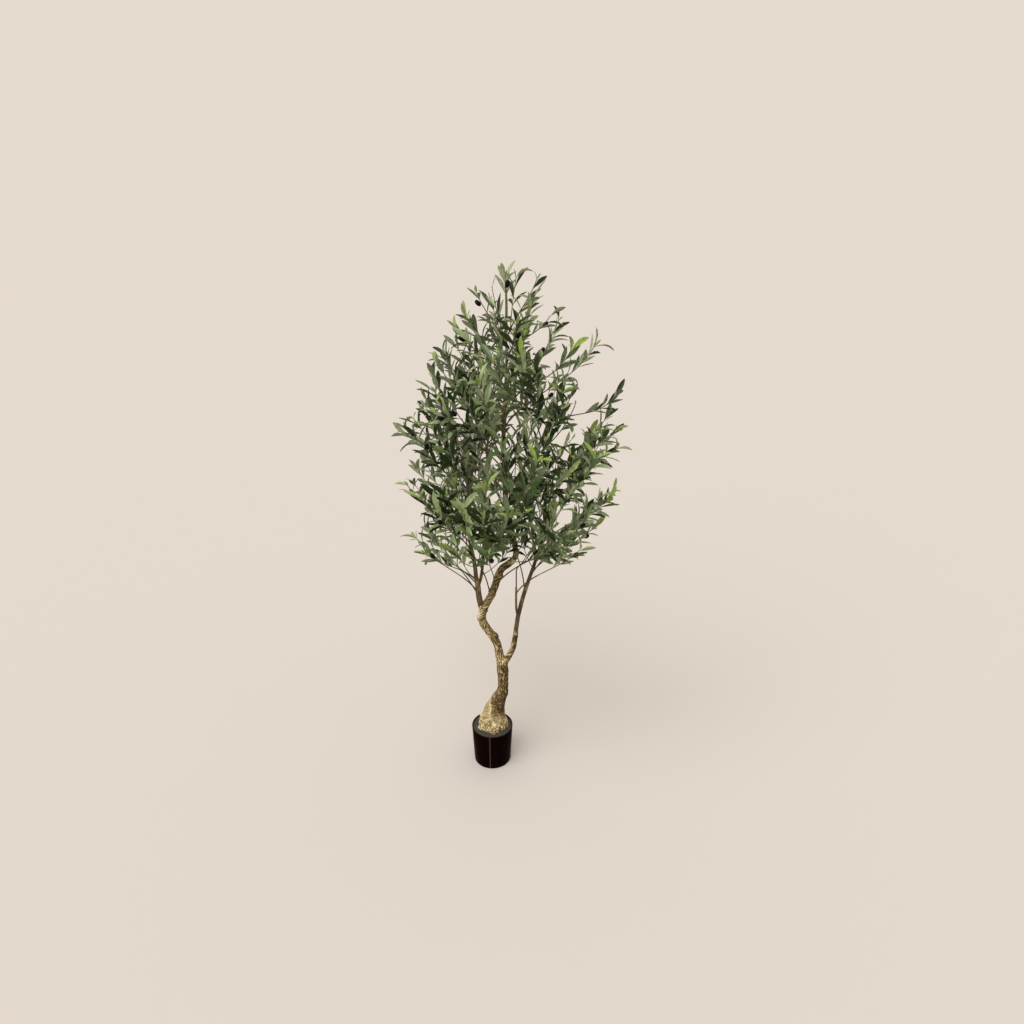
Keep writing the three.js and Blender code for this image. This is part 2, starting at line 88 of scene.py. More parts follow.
class Wire:
    """A socket in a node tree. Arithmetic on it adds Math nodes, and node() adds any other kind of node."""

    def __init__(self, tree, socket=None):
        self.tree = tree
        self.socket = socket

    @staticmethod
    def find(sockets, key):
        """A socket by its number, its identifier or its name."""
        if isinstance(key, int):
            return sockets[key]
        return next(socket for socket in sockets if key in (socket.identifier, socket.name))

    def node(self, kind, settings=None, sockets=None, output=0):
        """An output of a new node with these settings and inputs. The setting stops is for a colour ramp."""
        made = self.tree.nodes.new(kind)
        for name, value in (settings or {}).items():
            if name == "stops":
                ramp = made.color_ramp.elements
                while len(ramp) < len(value):
                    ramp.new(1.0)
                for element, (place, colour) in zip(ramp, value):
                    element.position = place
                    element.color = colour
            else:
                setattr(made, name, value)
        for key, value in (sockets or {}).items():
            socket = self.find(made.inputs, key)
            if isinstance(value, Wire):
                self.tree.links.new(value.socket, socket)
            else:
                socket.default_value = value
        return Wire(self.tree, self.find(made.outputs, output))

    def to(self, socket):
        self.tree.links.new(self.socket, socket)

    def math(self, operation, *values):
        return self.node("ShaderNodeMath", {"operation": operation}, dict(enumerate(values)))

    def __add__(self, other):
        return self.math("ADD", self, other)

    def __sub__(self, other):
        return self.math("SUBTRACT", self, other)

    def __rsub__(self, other):
        return self.math("SUBTRACT", other, self)

    def __mul__(self, other):
        return self.math("MULTIPLY", self, other)

    def __truediv__(self, other):
        return self.math("DIVIDE", self, other)

    def __rtruediv__(self, other):
        return self.math("DIVIDE", other, self)

    __radd__ = __add__
    __rmul__ = __mul__

    def ramp(self, low, high, start=0.0, end=1.0):
        """Start where this value is low, end where it is high, and an even slope between them."""
        sockets = {"Value": self, "From Min": low, "From Max": high, "To Min": start, "To Max": end}
        return self.node("ShaderNodeMapRange", {"clamp": True}, sockets)

    def blend(self, first, second):
        """The first colour where this value is 0 and the second where it is 1."""
        sockets = {"Factor_Float": self, "A_Color": first, "B_Color": second}
        return self.node("ShaderNodeMix", {"data_type": "RGBA"}, sockets, "Result_Color")

    def noise(self, place, scale, detail=2.0, roughness=0.5):
        sockets = {"Vector": place, "Scale": scale, "Detail": detail, "Roughness": roughness}
        return self.node("ShaderNodeTexNoise", None, sockets, "Fac")

    def vector(self, operation, other, output="Vector"):
        """Vector arithmetic on this vector and another."""
        sockets = {"Vector": self, "Vector_001": other}
        return self.node("ShaderNodeVectorMath", {"operation": operation}, sockets, output)

    def stretched(self, x, y, z):
        """This vector with each of its parts multiplied."""
        return self.vector("MULTIPLY", (x, y, z))

    def scaled(self, by):
        """This vector multiplied by a number."""
        settings = {"operation": "SCALE"}
        return self.node("ShaderNodeVectorMath", settings, {"Vector": self, "Scale": by}, "Vector")

    def part(self, axis):
        return self.node("ShaderNodeSeparateXYZ", None, {"Vector": self}, axis)

    def joined(self, x, y, z):
        return self.node("ShaderNodeCombineXYZ", None, {"X": x, "Y": y, "Z": z})

    def named(self, name, kind="FLOAT"):
        """The attribute of that name on a geometry's points."""
        return self.node("GeometryNodeInputNamedAttribute", {"data_type": kind}, {"Name": name})

    def stored(self, name, value):
        """This geometry with a value kept on its points under a name."""
        settings = {"data_type": "FLOAT", "domain": "POINT"}
        sockets = {"Geometry": self, "Name": name, "Value": value}
        return self.node("GeometryNodeStoreNamedAttribute", settings, sockets)

    def moved(self, **sockets):
        """This geometry with its points at a Position or moved by an Offset."""
        return self.node("GeometryNodeSetPosition", None, {"Geometry": self, **sockets})

    def bump(self, distance, strength=1.0):
        sockets = {"Height": self, "Distance": distance, "Strength": strength}
        return self.node("ShaderNodeBump", None, sockets, "Normal")


def paint(red, green, blue):
    """A colour given as it looks on a screen, 0 to 255, as the linear colour that a shader takes."""
    parts = [part / 255 for part in (red, green, blue)]
    linear = [part / 12.92 if part <= 0.04045 else ((part + 0.055) / 1.055) ** 2.4 for part in parts]
    return (*linear, 1.0)


def finish(name, **values):
    """A material with these values on its shader: gives it, the shader's sockets and a wire for its nodes."""
    material = bpy.data.materials.new(name)
    material.use_nodes = True
    shader = material.node_tree.nodes["Principled BSDF"].inputs
    for socket, value in values.items():
        shader[socket.replace("_", " ")].default_value = value
    return material, shader, Wire(material.node_tree)


def placed(name, data):
    """An object in the scene, made of a mesh, a light or a camera."""
    thing = bpy.data.objects.new(name, data)
    bpy.context.scene.collection.objects.link(thing)
    return thing


def standing(name, vertices, faces, material, crease=40):
    """A smooth shaded mesh object at the origin, sharp where its faces meet at more than the crease angle."""
    mesh = bpy.data.meshes.new(name)
    mesh.from_pydata(vertices, [], faces)
    mesh.materials.append(material)
    mesh.shade_smooth()
    mesh.set_sharp_from_angle(angle=math.radians(crease))
    return placed(name, mesh)


def dress(piece, slot, *nodes):
    """The piece moves with the tree and stands for these solids. The slot is not used."""
    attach(piece, "root")
    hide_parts(*nodes)


pot_plastic, shader, wire = finish("pot_plastic", Specular_IOR_Level=0.006)
place = wire.node("ShaderNodeTexCoord", output="Object")
mottle = wire.noise(place, 45, 3)
drag = wire.noise(place.stretched(260, 260, 6), 1, 3)
aside = wire.math("ABSOLUTE", place.vector("DOT_PRODUCT", PARTING_ASIDE, "Value"))
# A pale streak along the parting line: a painted highlight, with a faint raised line in the bump
parting_line_highlight = aside.ramp(*PARTING_HIGHLIGHT_FADE, 1.0, 0.0) * drag.ramp(0.2, 0.6, 0.55, 1.0)
black = mottle.ramp(0.35, 0.7).blend(paint(9, 2, 2), paint(19, 6, 5))
parting_line_highlight.blend(black, paint(66, 59, 58)).to(shader["Base Color"])
(drag * 0.10 + mottle * 0.10 + 0.10).to(shader["Roughness"])
(drag * 0.4 + parting_line_highlight * 0.6).bump(0.0002, 0.35).to(shader["Normal"])

inner_foot = POT_FOOT_RADIUS - POT_WALL
ring_inside = POT_FOOT_RADIUS - POT_EDGE - FOOT_RING_WIDTH
pot_profile = [
    (0, FOOT_RING_HEIGHT),
    (ring_inside - FOOT_RING_HEIGHT, FOOT_RING_HEIGHT),
    (ring_inside, 0),
    *arc((POT_FOOT_RADIUS - POT_EDGE, POT_EDGE), POT_EDGE, -90, 0, 7),
    *arc((POT_RIM_RADIUS - POT_WALL / 2, POT_HEIGHT - POT_WALL / 2), POT_WALL / 2, 0, 180, 9),
    (inner_foot, POT_FLOOR),
    (0, POT_FLOOR),
]
pot = standing("nursery_pot", *turned(pot_profile, POT_SEGMENTS), pot_plastic)
dress(pot, "pot_plastic", "pot")


# Filling: a plug cast in the pot to hold the trunk's steel core and to weigh the tree down. It is dark grey
# with a dull, faintly pitted face, and creeps up a little where it wets the wall.
FILL_DROP = 0.006
FILL_CLEARANCE = 0.0006
FILL_GAP = 0.0003
FILL_CREEP = 0.0006
FILL_CREEP_WIDTH = 0.0012
FILL_WAVE = 0.0004
FILL_RINGS = 28


def fill_radius(z):
    """The filling's radius at a height, just clear of the pot's wall."""
    wall = POT_FOOT_RADIUS + (POT_RIM_RADIUS - POT_FOOT_RADIUS) * z / POT_HEIGHT
    return wall - POT_WALL - FILL_CLEARANCE


fill_top = POT_HEIGHT - FILL_DROP
fill_floor = POT_FLOOR + FILL_GAP
fill_edge = fill_radius(fill_top)
fill_profile = [(0, fill_floor), (fill_radius(fill_floor), fill_floor), (fill_edge, fill_top + FILL_CREEP)]
for radius in np.linspace(fill_edge - FILL_CREEP_WIDTH, 0, FILL_RINGS):
    fill_profile.append((radius, fill_top))
vertices, faces = turned(fill_profile, POT_SEGMENTS)
# Low waves round the face and out from its middle, none at the rim
on_face = vertices[:, 2] > fill_top - 1e-6
around = np.arctan2(vertices[:, 1], vertices[:, 0])
reach = np.hypot(vertices[:, 0], vertices[:, 1]) / fill_edge
swell = np.sin(3 * around + 1) * np.sin(7 * reach) + 0.6 * np.sin(5 * around + 11 * reach)
vertices[on_face, 2] += (FILL_WAVE * swell * reach * (1 - reach))[on_face]

cast_filling, shader, wire = finish("cast_filling")
place = wire.node("ShaderNodeTexCoord", output="Object")
cloud = wire.noise(place, 35, 4, 0.6)
grit = wire.noise(place, 700, 3, 0.65)
shade = cloud.ramp(0.3, 0.7).blend(paint(56, 54, 50), paint(70, 67, 62))
grit.ramp(0.58, 0.74).blend(shade, paint(86, 83, 78)).to(shader["Base Color"])
(grit * 0.25 + 0.68).to(shader["Roughness"])
(grit + cloud).bump(0.0006, 0.5).to(shader["Normal"])
dress(standing("cast_filling", vertices, faces, cast_filling), "cast_filling", "pot_fill")


# Trunk and stub: foam moulded in one piece over a steel core, with flaky bark pressed into it, painted brown
# and brushed over with a pale gold. The root flare stands on the filling, and the sawn top end is left pale.
FOOT_Z = fill_top + FILL_GAP
FOOT_SINK = 0.0006
TRUNK = [
    (-0.001, 0.003, FOOT_Z, 0.0595),
    (0.003, 0.003, 0.172, 0.0525),
    (0.009, 0.002, 0.215, 0.040),
    (0.022, 0, 0.258, 0.0295),
    (0.039, -0.004, 0.304, 0.0205),
    (0.042, -0.004, 0.350, 0.0188),
    (0.040, 0, 0.400, 0.0205),
    (0.031, 0.006, 0.445, 0.0155),
    (0.016, 0.012, 0.505, 0.0144),
    (-0.027, 0.014, 0.576, 0.0148),
    (-0.033, 0.010, 0.610, 0.015),
    (-0.022, 0.004, 0.652, 0.0142),
    (0.005, -0.002, 0.705, 0.0128),
    (0.024, -0.004, 0.765, 0.0126),
    (0.038, -0.002, 0.799, 0.012),
    (0.061, 0.003, 0.816, 0.0116),
    (0.084, 0.006, 0.834, 0.011),
]
RIGHT_STUB = [
    (0.040, 0.001, 0.405, 0.013),
    (0.055, 0.004, 0.433, 0.0122),
    (0.070, 0.008, 0.457, 0.011),
    (0.081, 0.012, 0.487, 0.0102),
    (0.086, 0.015, 0.515, 0.0096),
    (0.089, 0.017, 0.538, 0.0092),
]
# The short socket that the left bough is plugged into
LEFT_SOCKET = [
    (-0.024, 0.009, 0.628, 0.0135),
    (-0.027, 0.007, 0.638, 0.0138),
    (-0.033, 0.0035, 0.654, 0.0128),
    (-0.0355, 0.0015, 0.663, 0.0118),
]
ROOT_LOBES = 5
ROOT_LOBE_DEPTH = 0.07
ROOT_LOBE_HEIGHT = 0.110
ROOT_LOBE_TWIST = 25
# The flare is hollow to the front left: its depth as a share of the radius, its turn from the left in
# degrees, and how sharply it is drawn in
ROOT_HOLLOW = 0.16
ROOT_HOLLOW_TURN = 50
ROOT_HOLLOW_POWER = 1.5
BARK_LUMP = 0.035
BARK_LUMP_TWIST = 1 / 0.017
BARK_LUMP_WAVE = 1 / 0.023
UPRIGHT_FOOT = 0.06
TRUNK_SIDES = 72
TRUNK_STEPS = 260
STUB_STEPS = 70
SOCKET_STEPS = 30
BARK_GRAIN = 0.0016
FORK = (0.056, 0.005, 0.436)
# The second fork, where the bark is all hatched
HATCHED_FORK = (-0.031, -0.004, 0.640)
HATCHED_REACH = 0.06
# Heights over which the root's crumbs, the bare flare and its left slope end, and how the flare's end
# leans to the right and wanders. The left slope is painted pale, as painted light from the left.
CRUMBS_END = (0.180, 0.214)
FLARE_END = (0.200, 0.245)
LIT_SLOPE_END = (0.29, 0.32)
FLARE_LEAN = 0.35
FLARE_WANDER = 0.05
# Where the painted lit slope ends on the right and its painted highlight ridge begins, across the trunk, and
# how ragged both are
LIT_SLOPE_EDGE = (-0.004, 0.0)
LIT_RIDGE_EDGE = (-0.018, -0.006)
EDGE_WANDER = 0.010
EDGE_GRAIN = 0.006
# How near to the sawn end the bark gives way to its pale face
SAWN_FADE = (-0.0035, -0.0015)
# How thickly the gold is brushed on at each height, how much darker the right side is painted as painted
# shade away from the light, how thickly the gold lies on the flare, and how pale the left slope and its
# ridge are painted as painted light from the left
GOLD_UP = [
    (0.28, 0.26), (0.34, 0.31), (0.40, 0.31), (0.46, 0.46), (0.545, 0.46),
    (0.59, 0.54), (0.64, 0.54), (0.65, 0.524), (0.69, 0.413), (0.77, 0.32),
]
RIGHT_SIDE_SHADE = 0.11
FLARE_GOLD = 0.66
LIT_SLOPE_GOLD = 0.63
LIT_RIDGE_GOLD = 0.14
# How much the flakes and the grain show in the gold, and how much weaker the flakes are on the bare parts
FLAKE_SHOW = 0.70
GRAIN_SHOW = 0.3
BARE_LOSS = 0.5
# Spots painted paler or darker: their place, reach and by how much. The pale ring round the stub's end is a
# painted highlight on its rim, and the dark just below it is painted shade.
GOLD_SPOTS = {
    "crotch of the first fork": ((0.041, -0.010, 0.437), 0.020, 0.20),
    "painted highlight round the stub's end": ((0.0885, 0.012, 0.538), 0.009, 0.5),
    "painted shade below the stub's end": ((0.087, 0.010, 0.522), 0.019, -0.36),
    "arm above the first fork": ((0.014, 0.0, 0.520), 0.020, -0.16),
    "rim of the sawn end": (TRUNK[-1][:3], 0.018, 0.5),
}
# Knuckles of the mould: their place, reach and height
KNUCKLES = [
    ((0.016, 0.008, 0.530), 0.019, 0.0065),
    ((-0.003, -0.006, 0.7205), 0.013, 0.0045),
    ((0.0385, -0.006, 0.772), 0.016, 0.0030),
    ((-0.046, 0.004, 0.606), 0.018, 0.0025),
    ((0.050, -0.016, 0.300), 0.024, 0.0035),
]


def unit(vector):
    return vector / np.linalg.norm(vector)


def distances(path):
    """How far along a path each of its points lies."""
    return np.cumsum([0, *np.linalg.norm(np.diff(path, axis=0), axis=1)])


def smooth_path(stations, steps):
    """Places on the smooth curve through a limb's stations, each with the radius there as a fourth number."""
    stations = np.array(stations, float)
    ends = [2 * stations[0] - stations[1], 2 * stations[-1] - stations[-2]]
    knots = np.vstack([ends[:1], stations, ends[1:]])
    t = np.linspace(0, len(stations) - 1, steps + 1)
    i = np.minimum(t.astype(int), len(stations) - 2)
    w = (t - i)[:, None]
    before, start, end, after = (knots[i + k] for k in range(4))
    leaving, arriving = (end - before) / 2, (after - start) / 2
    ease = w * w * (3 - 2 * w)
    return start + (end - start) * ease + leaving * (w - 2 * w**2 + w**3) + arriving * (w**3 - w**2)


def frames_along(path, upright=0.0):
    """Unit directions along a path, over it and to its side, turned as little as can be from step to step.
    Within the upright height of its start the path counts as more and more vertical."""
    runs = np.gradient(path, axis=0)
    runs /= np.linalg.norm(runs, axis=1, keepdims=True)
    if upright:
        share = np.clip(1 - (path[:, 2:3] - path[0, 2]) / upright, 0, 1)
        runs = runs * (1 - share) + np.array([0, 0, 1.0]) * share
        runs /= np.linalg.norm(runs, axis=1, keepdims=True)
    aside = np.eye(3)[np.argmin(np.abs(runs[0]))]
    overs = [unit(np.cross(runs[0], np.cross(runs[0], aside)))]
    for run in runs[1:]:
        overs.append(unit(overs[-1] - run * overs[-1].dot(run)))
    overs = np.array(overs)
    return runs, overs, np.cross(runs, overs)


def tube(path, radii, upright=0.0):
    """Vertices and faces of a closed tube: radii has a row for each step and a column for each side."""
    _, overs, asides = frames_along(path, upright)
    angles = 2 * math.pi * np.arange(TRUNK_SIDES) / TRUNK_SIDES
    out = overs[:, None] * np.cos(angles)[:, None] + asides[:, None] * np.sin(angles)[:, None]
    return closed_skin(path[:, None] + out * radii[:, :, None], path[0], path[-1])


def moulded(stations, steps, is_trunk=False):
    """A limb's tube with the mould's lumps and, on the trunk, the lobes of its root flare."""
    path = smooth_path(stations, steps)
    z = path[:, 2:3]
    angles = 2 * math.pi * np.arange(TRUNK_SIDES) / TRUNK_SIDES
    root = np.clip(1 - (z - FOOT_Z) / ROOT_LOBE_HEIGHT, 0, 1) * is_trunk
    lobes = ROOT_LOBE_DEPTH * root * np.cos(ROOT_LOBES * angles + z * ROOT_LOBE_TWIST)
    hollow = np.maximum(np.cos(angles - math.radians(ROOT_HOLLOW_TURN)), 0) ** ROOT_HOLLOW_POWER
    lobes = lobes - ROOT_HOLLOW * root * hollow
    lumps = BARK_LUMP * np.sin(2 * angles + z * BARK_LUMP_TWIST) * np.sin(z * BARK_LUMP_WAVE)
    return tube(path[:, :3], path[:, 3:] * (1 + lobes + lumps), UPRIGHT_FOOT * is_trunk)


def growth_tree(name, values):
    """An empty node tree with an input for each of these values: returns it, its output socket and a wire for
    each input."""
    kinds = {
        int: "NodeSocketInt",
        float: "NodeSocketFloat",
        tuple: "NodeSocketVector",
        bpy.types.Material: "NodeSocketMaterial",
        bpy.types.Object: "NodeSocketObject",
    }
    tree = bpy.data.node_groups.new(name, "GeometryNodeTree")
    tree.interface.new_socket("Geometry", in_out="INPUT", socket_type="NodeSocketGeometry")
    for label, value in values.items():
        tree.interface.new_socket(label, in_out="INPUT", socket_type=kinds[type(value)])
    tree.interface.new_socket("Geometry", in_out="OUTPUT", socket_type="NodeSocketGeometry")
    given = tree.nodes.new("NodeGroupInput")
    wires = {socket.name: Wire(tree, socket) for socket in given.outputs if socket.name}
    return tree, tree.nodes.new("NodeGroupOutput").inputs[0], wires


def applied(holder, name):
    """The mesh that its modifiers make of an object. The object itself goes."""
    depsgraph = bpy.context.evaluated_depsgraph_get()
    mesh = bpy.data.meshes.new_from_object(holder.evaluated_get(depsgraph), depsgraph=depsgraph)
    bpy.data.objects.remove(holder)
    mesh.name = name
    return mesh


def grown(name, source, growth, values):
    """Runs a growth's node tree on a mesh, with these values on its inputs, and places what it makes as a
    plain mesh."""
    tree = growth(values)
    holder = placed(name + "_source", source)
    modifier = holder.modifiers.new("grow", "NODES")
    modifier.node_group = tree
    for item in tree.interface.items_tree:
        if item.in_out == "INPUT" and item.name in values:
            modifier[item.identifier] = values[item.name]
    return placed(name, applied(holder, name))


def keep_on_points(mesh, **attributes):
    """Keeps a number for each point of a mesh under each of these names."""
    for name, values in attributes.items():
        mesh.attributes.new(name, "FLOAT", "POINT").data.foreach_set("value", values.astype(np.float32))


def along_limbs(mesh, limbs):
    """Keeps on each point of a mesh how far along its limb it lies, its turn round it and its radius."""
    # Each row has a place, the radius there, the distance along the limb and the three directions
    rows = []
    for stations, steps, is_trunk in limbs:
        path = smooth_path(stations, steps)
        directions = frames_along(path[:, :3], UPRIGHT_FOOT * is_trunk)
        rows.append(np.column_stack([path, distances(path[:, :3]), *directions]))
    rows = np.vstack(rows)
    points = np.array([vertex.co for vertex in mesh.vertices])
    depths = lambda some: np.linalg.norm(some[:, None] - rows[None, :, :3], axis=2) - rows[:, 3]
    near = rows[np.concatenate([depths(some).argmin(axis=1) for some in np.array_split(points, 50)])]
    offset = points - near[:, :3]
    run, over, aside = (np.einsum("ij,ij->i", offset, near[:, first:first + 3]) for first in (5, 8, 11))
    keep_on_points(mesh, along=near[:, 4] + run, turn=np.arctan2(aside, over), girth=near[:, 3])


def streaks(start, angle, girth, along, roughness):
    """Noise drawn out along a limb: the girth and the length along it come in streak widths and lengths."""
    place = start.joined(start.math("COSINE", angle) * girth, start.math("SINE", angle) * girth, along)
    return start.noise(place, 1.0, 3.0, roughness)


def end_tree(body, skin, result):
    """Ends a growth tree with smooth shading, real geometry and a material."""
    body = body.node("GeometryNodeSetShadeSmooth", None, {"Geometry": body})
    body = body.node("GeometryNodeRealizeInstances", None, {"Geometry": body})
    body.node("GeometryNodeSetMaterial", None, {"Geometry": body, "Material": skin}).to(result)


def pressed_bark(values):
    """The tree that rounds the fork, raises the knuckles, and presses strands, slanting hatches and grain
    into the moulded limbs, and crumbs into the root flare. It keeps how pale the bark is painted, from the
    brushed gold and from painted light and shade, as an attribute for the bark's material, and the sawn end
    as the attribute sawn."""
    tree, result, given = growth_tree("pressed_bark", values)
    start = given["Geometry"]
    position = start.node("GeometryNodeInputPosition")
    normal = start.node("GeometryNodeInputNormal")
    mixed = lambda first, second, share: first + (second - first) * share

    def nearness(place, reach):
        """1 close to a place, falling to 0 at the reach from it."""
        return (position.vector("DISTANCE", place, "Value") / reach).ramp(0.3, 1.0, 1.0, 0.0)

    weight = nearness(given["Fork"], given["Fork reach"])
    sockets = {"Value": position, "Iterations": given["Rounding"], "Weight": weight}
    eased = start.node("GeometryNodeBlurAttribute", {"data_type": "FLOAT_VECTOR"}, sockets, "Value")
    body = start.moved(Position=eased)
    x, y, height = (position.part(axis) for axis in "XYZ")
    along, turn, girth = (start.named(name) for name in ("along", "turn", "girth"))

    strands = streaks(start, turn, girth / given["Strand width"], along / given["Strand length"], 0.6)
    climb = turn + along * given["Hatch twist"]
    hatches = streaks(start, climb, girth / given["Hatch width"], along / given["Hatch length"], 0.6)
    patches = start.noise(position, 26.0, 1.0).ramp(0.44, 0.56)
    hatched = start.math("MAXIMUM", patches, nearness(HATCHED_FORK, HATCHED_REACH))
    flakes = mixed(strands.ramp(0.40, 0.60), hatches.ramp(0.42, 0.58), hatched)
    grain = start.noise(position, 1 / given["Grain size"], 4.0, 0.65)
    lumps = start.noise(position, 0.45 / given["Crumb size"], 1.0)
    sockets = {"Vector": position, "Scale": 70.0, "Detail": 3.0}
    wander = start.node("ShaderNodeTexNoise", None, sockets, "Color")
    place = position.scaled(1 / given["Crumb size"]).vector("ADD", wander.scaled(2.4))
    sockets = {"Vector": place, "Scale": 1.0}
    edges = start.node("ShaderNodeTexVoronoi", {"feature": "DISTANCE_TO_EDGE"}, sockets, "Distance")
    crumbs = edges.ramp(0.0, 0.2)
    crumb_tone = start.node("ShaderNodeTexVoronoi", {"feature": "F1"}, sockets, "Color").part("X")

    beyond = position.vector("SUBTRACT", given["Sawn end"])
    sawn = beyond.vector("DOT_PRODUCT", given["Sawn way"], "Value").ramp(*SAWN_FADE)
    at_root = height.ramp(*CRUMBS_END, 1.0, 0.0)
    leaning = height + x * FLARE_LEAN + (wander.part("Y") - 0.5) * FLARE_WANDER
    flare = leaning.ramp(*FLARE_END, 1.0, 0.0)
    # The pale left slope and its ridge are painted light from the left; ragged marks where they end
    ragged = x + (wander.part("X") - 0.5) * EDGE_WANDER + (grain - 0.5) * EDGE_GRAIN
    slope = ragged.ramp(*LIT_SLOPE_EDGE, 1.0, 0.0) * height.ramp(*LIT_SLOPE_END, 1.0, 0.0)
    ridge = ragged.ramp(*LIT_RIDGE_EDGE) * slope
    # The right side is painted darker, as painted shade away from the light
    gold = GOLD_UP[0][1] - normal.part("X") * RIGHT_SIDE_SHADE
    for (low, below), (high, above) in zip(GOLD_UP, GOLD_UP[1:]):
        gold = gold + height.ramp(low, high, 0.0, above - below)
    gold = mixed(mixed(gold, FLARE_GOLD, flare), LIT_SLOPE_GOLD, slope) + ridge * LIT_RIDGE_GOLD
    for place, reach, more in GOLD_SPOTS.values():
        gold = gold + nearness(place, reach) * more
    bare = start.math("MAXIMUM", flare, slope)
    fineness = 1 - bare * BARE_LOSS
    gold = gold + (flakes - 0.5) * fineness * FLAKE_SHOW + (grain - 0.5) * (GRAIN_SHOW + bare * GRAIN_SHOW)
    clumps = crumbs * 0.5 + crumb_tone * 0.36 + (lumps - 0.5) * 0.5 + 0.14 + (grain - 0.5) * 0.4
    gold = mixed(gold, clumps, at_root * 0.9)

    depth = (flakes - 0.5) * fineness * given["Strand depth"] + (grain - 0.5) * given["Grain depth"]
    depth = depth + (crumbs * 0.6 + crumb_tone * 0.5 + lumps - 1.2) * given["Crumb depth"] * at_root
    for place, reach, rise in KNUCKLES:
        swell = nearness(place, reach)
        depth = depth + swell * swell * (3 - 2 * swell) * rise
    body = body.stored("gold", gold).stored("sawn", sawn)
    body = body.moved(Offset=normal.scaled(depth * (1 - sawn)))
    body = body.moved(Position=start.joined(x, y, start.math("MAXIMUM", height, given["Foot"])))
    end_tree(body, given["Bark"], result)
    return tree


flaked_bark, shader, wire = finish("flaked_bark", Specular_IOR_Level=0.3)
place = wire.node("ShaderNodeTexCoord", output="Object")
gold = wire.node("ShaderNodeAttribute", {"attribute_name": "gold"}, output="Fac")
sawn = wire.node("ShaderNodeAttribute", {"attribute_name": "sawn"}, output="Fac")
patch = wire.noise(place, 38, 3, 0.6)
speck = wire.noise(place, 520, 3, 0.7)
# The bark's tone holds painted light and shade from the trunk as well as the brushed gold
brushed_and_lit = gold + (patch - 0.5) * 0.3 + (speck - 0.5) * 0.26
stops = [
    (0.10, paint(50, 37, 16)),
    (0.32, paint(91, 72, 37)),
    (0.50, paint(129, 112, 73)),
    (0.68, paint(175, 159, 118)),
    (0.84, paint(211, 196, 155)),
    (1.0, paint(232, 220, 187)),
]
bark = wire.node("ShaderNodeValToRGB", {"stops": stops}, {"Fac": brushed_and_lit}, "Color")
end_grain = speck.ramp(0.3, 0.7).blend(paint(206, 184, 134), paint(230, 214, 172))
sawn.blend(bark, end_grain).to(shader["Base Color"])
(0.86 - brushed_and_lit.ramp(0.3, 0.9) * 0.25).to(shader["Roughness"])
(speck * 0.5 + wire.noise(place, 1300, 2) * 0.3).bump(0.0008, 0.6).to(shader["Normal"])

moulds = [(TRUNK, TRUNK_STEPS, True), (RIGHT_STUB, STUB_STEPS, False), (LEFT_SOCKET, SOCKET_STEPS, False)]
shells = [moulded(*mould) for mould in moulds]
vertices = np.vstack([shell[0] for shell in shells])
starts = np.cumsum([0] + [len(shell[0]) for shell in shells])
faces = [tuple(v + first for v in face) for first, shell in zip(starts, shells) for face in shell[1]]
mould = standing("mould", vertices, faces, flaked_bark)
join = mould.modifiers.new("join", "REMESH")
join.mode = "VOXEL"
join.voxel_size = BARK_GRAIN
skin = applied(mould, "mould_skin")
along_limbs(skin, moulds)
top_way = unit(np.array(TRUNK[-1][:3]) - np.array(TRUNK[-2][:3]))
bark_values = {
    "Fork": FORK,
    "Fork reach": 0.03,
    "Rounding": 40,
    "Strand width": 0.0031,
    "Strand length": 0.0120,
    "Strand depth": 0.0022,
    "Hatch width": 0.0042,
    "Hatch length": 0.0220,
    "Hatch twist": -62.0,
    "Crumb size": 0.0120,
    "Crumb depth": 0.0050,
    "Grain size": 0.0040,
    "Grain depth": 0.0011,
    "Sawn end": TRUNK[-1][:3],
    "Sawn way": tuple(top_way),
    "Foot": FOOT_Z - FOOT_SINK,
    "Bark": flaked_bark,
}
trunk = grown("moulded_trunk", skin, pressed_bark, bark_values)
dress(trunk, "flaked_bark", "trunk", "right_stub")


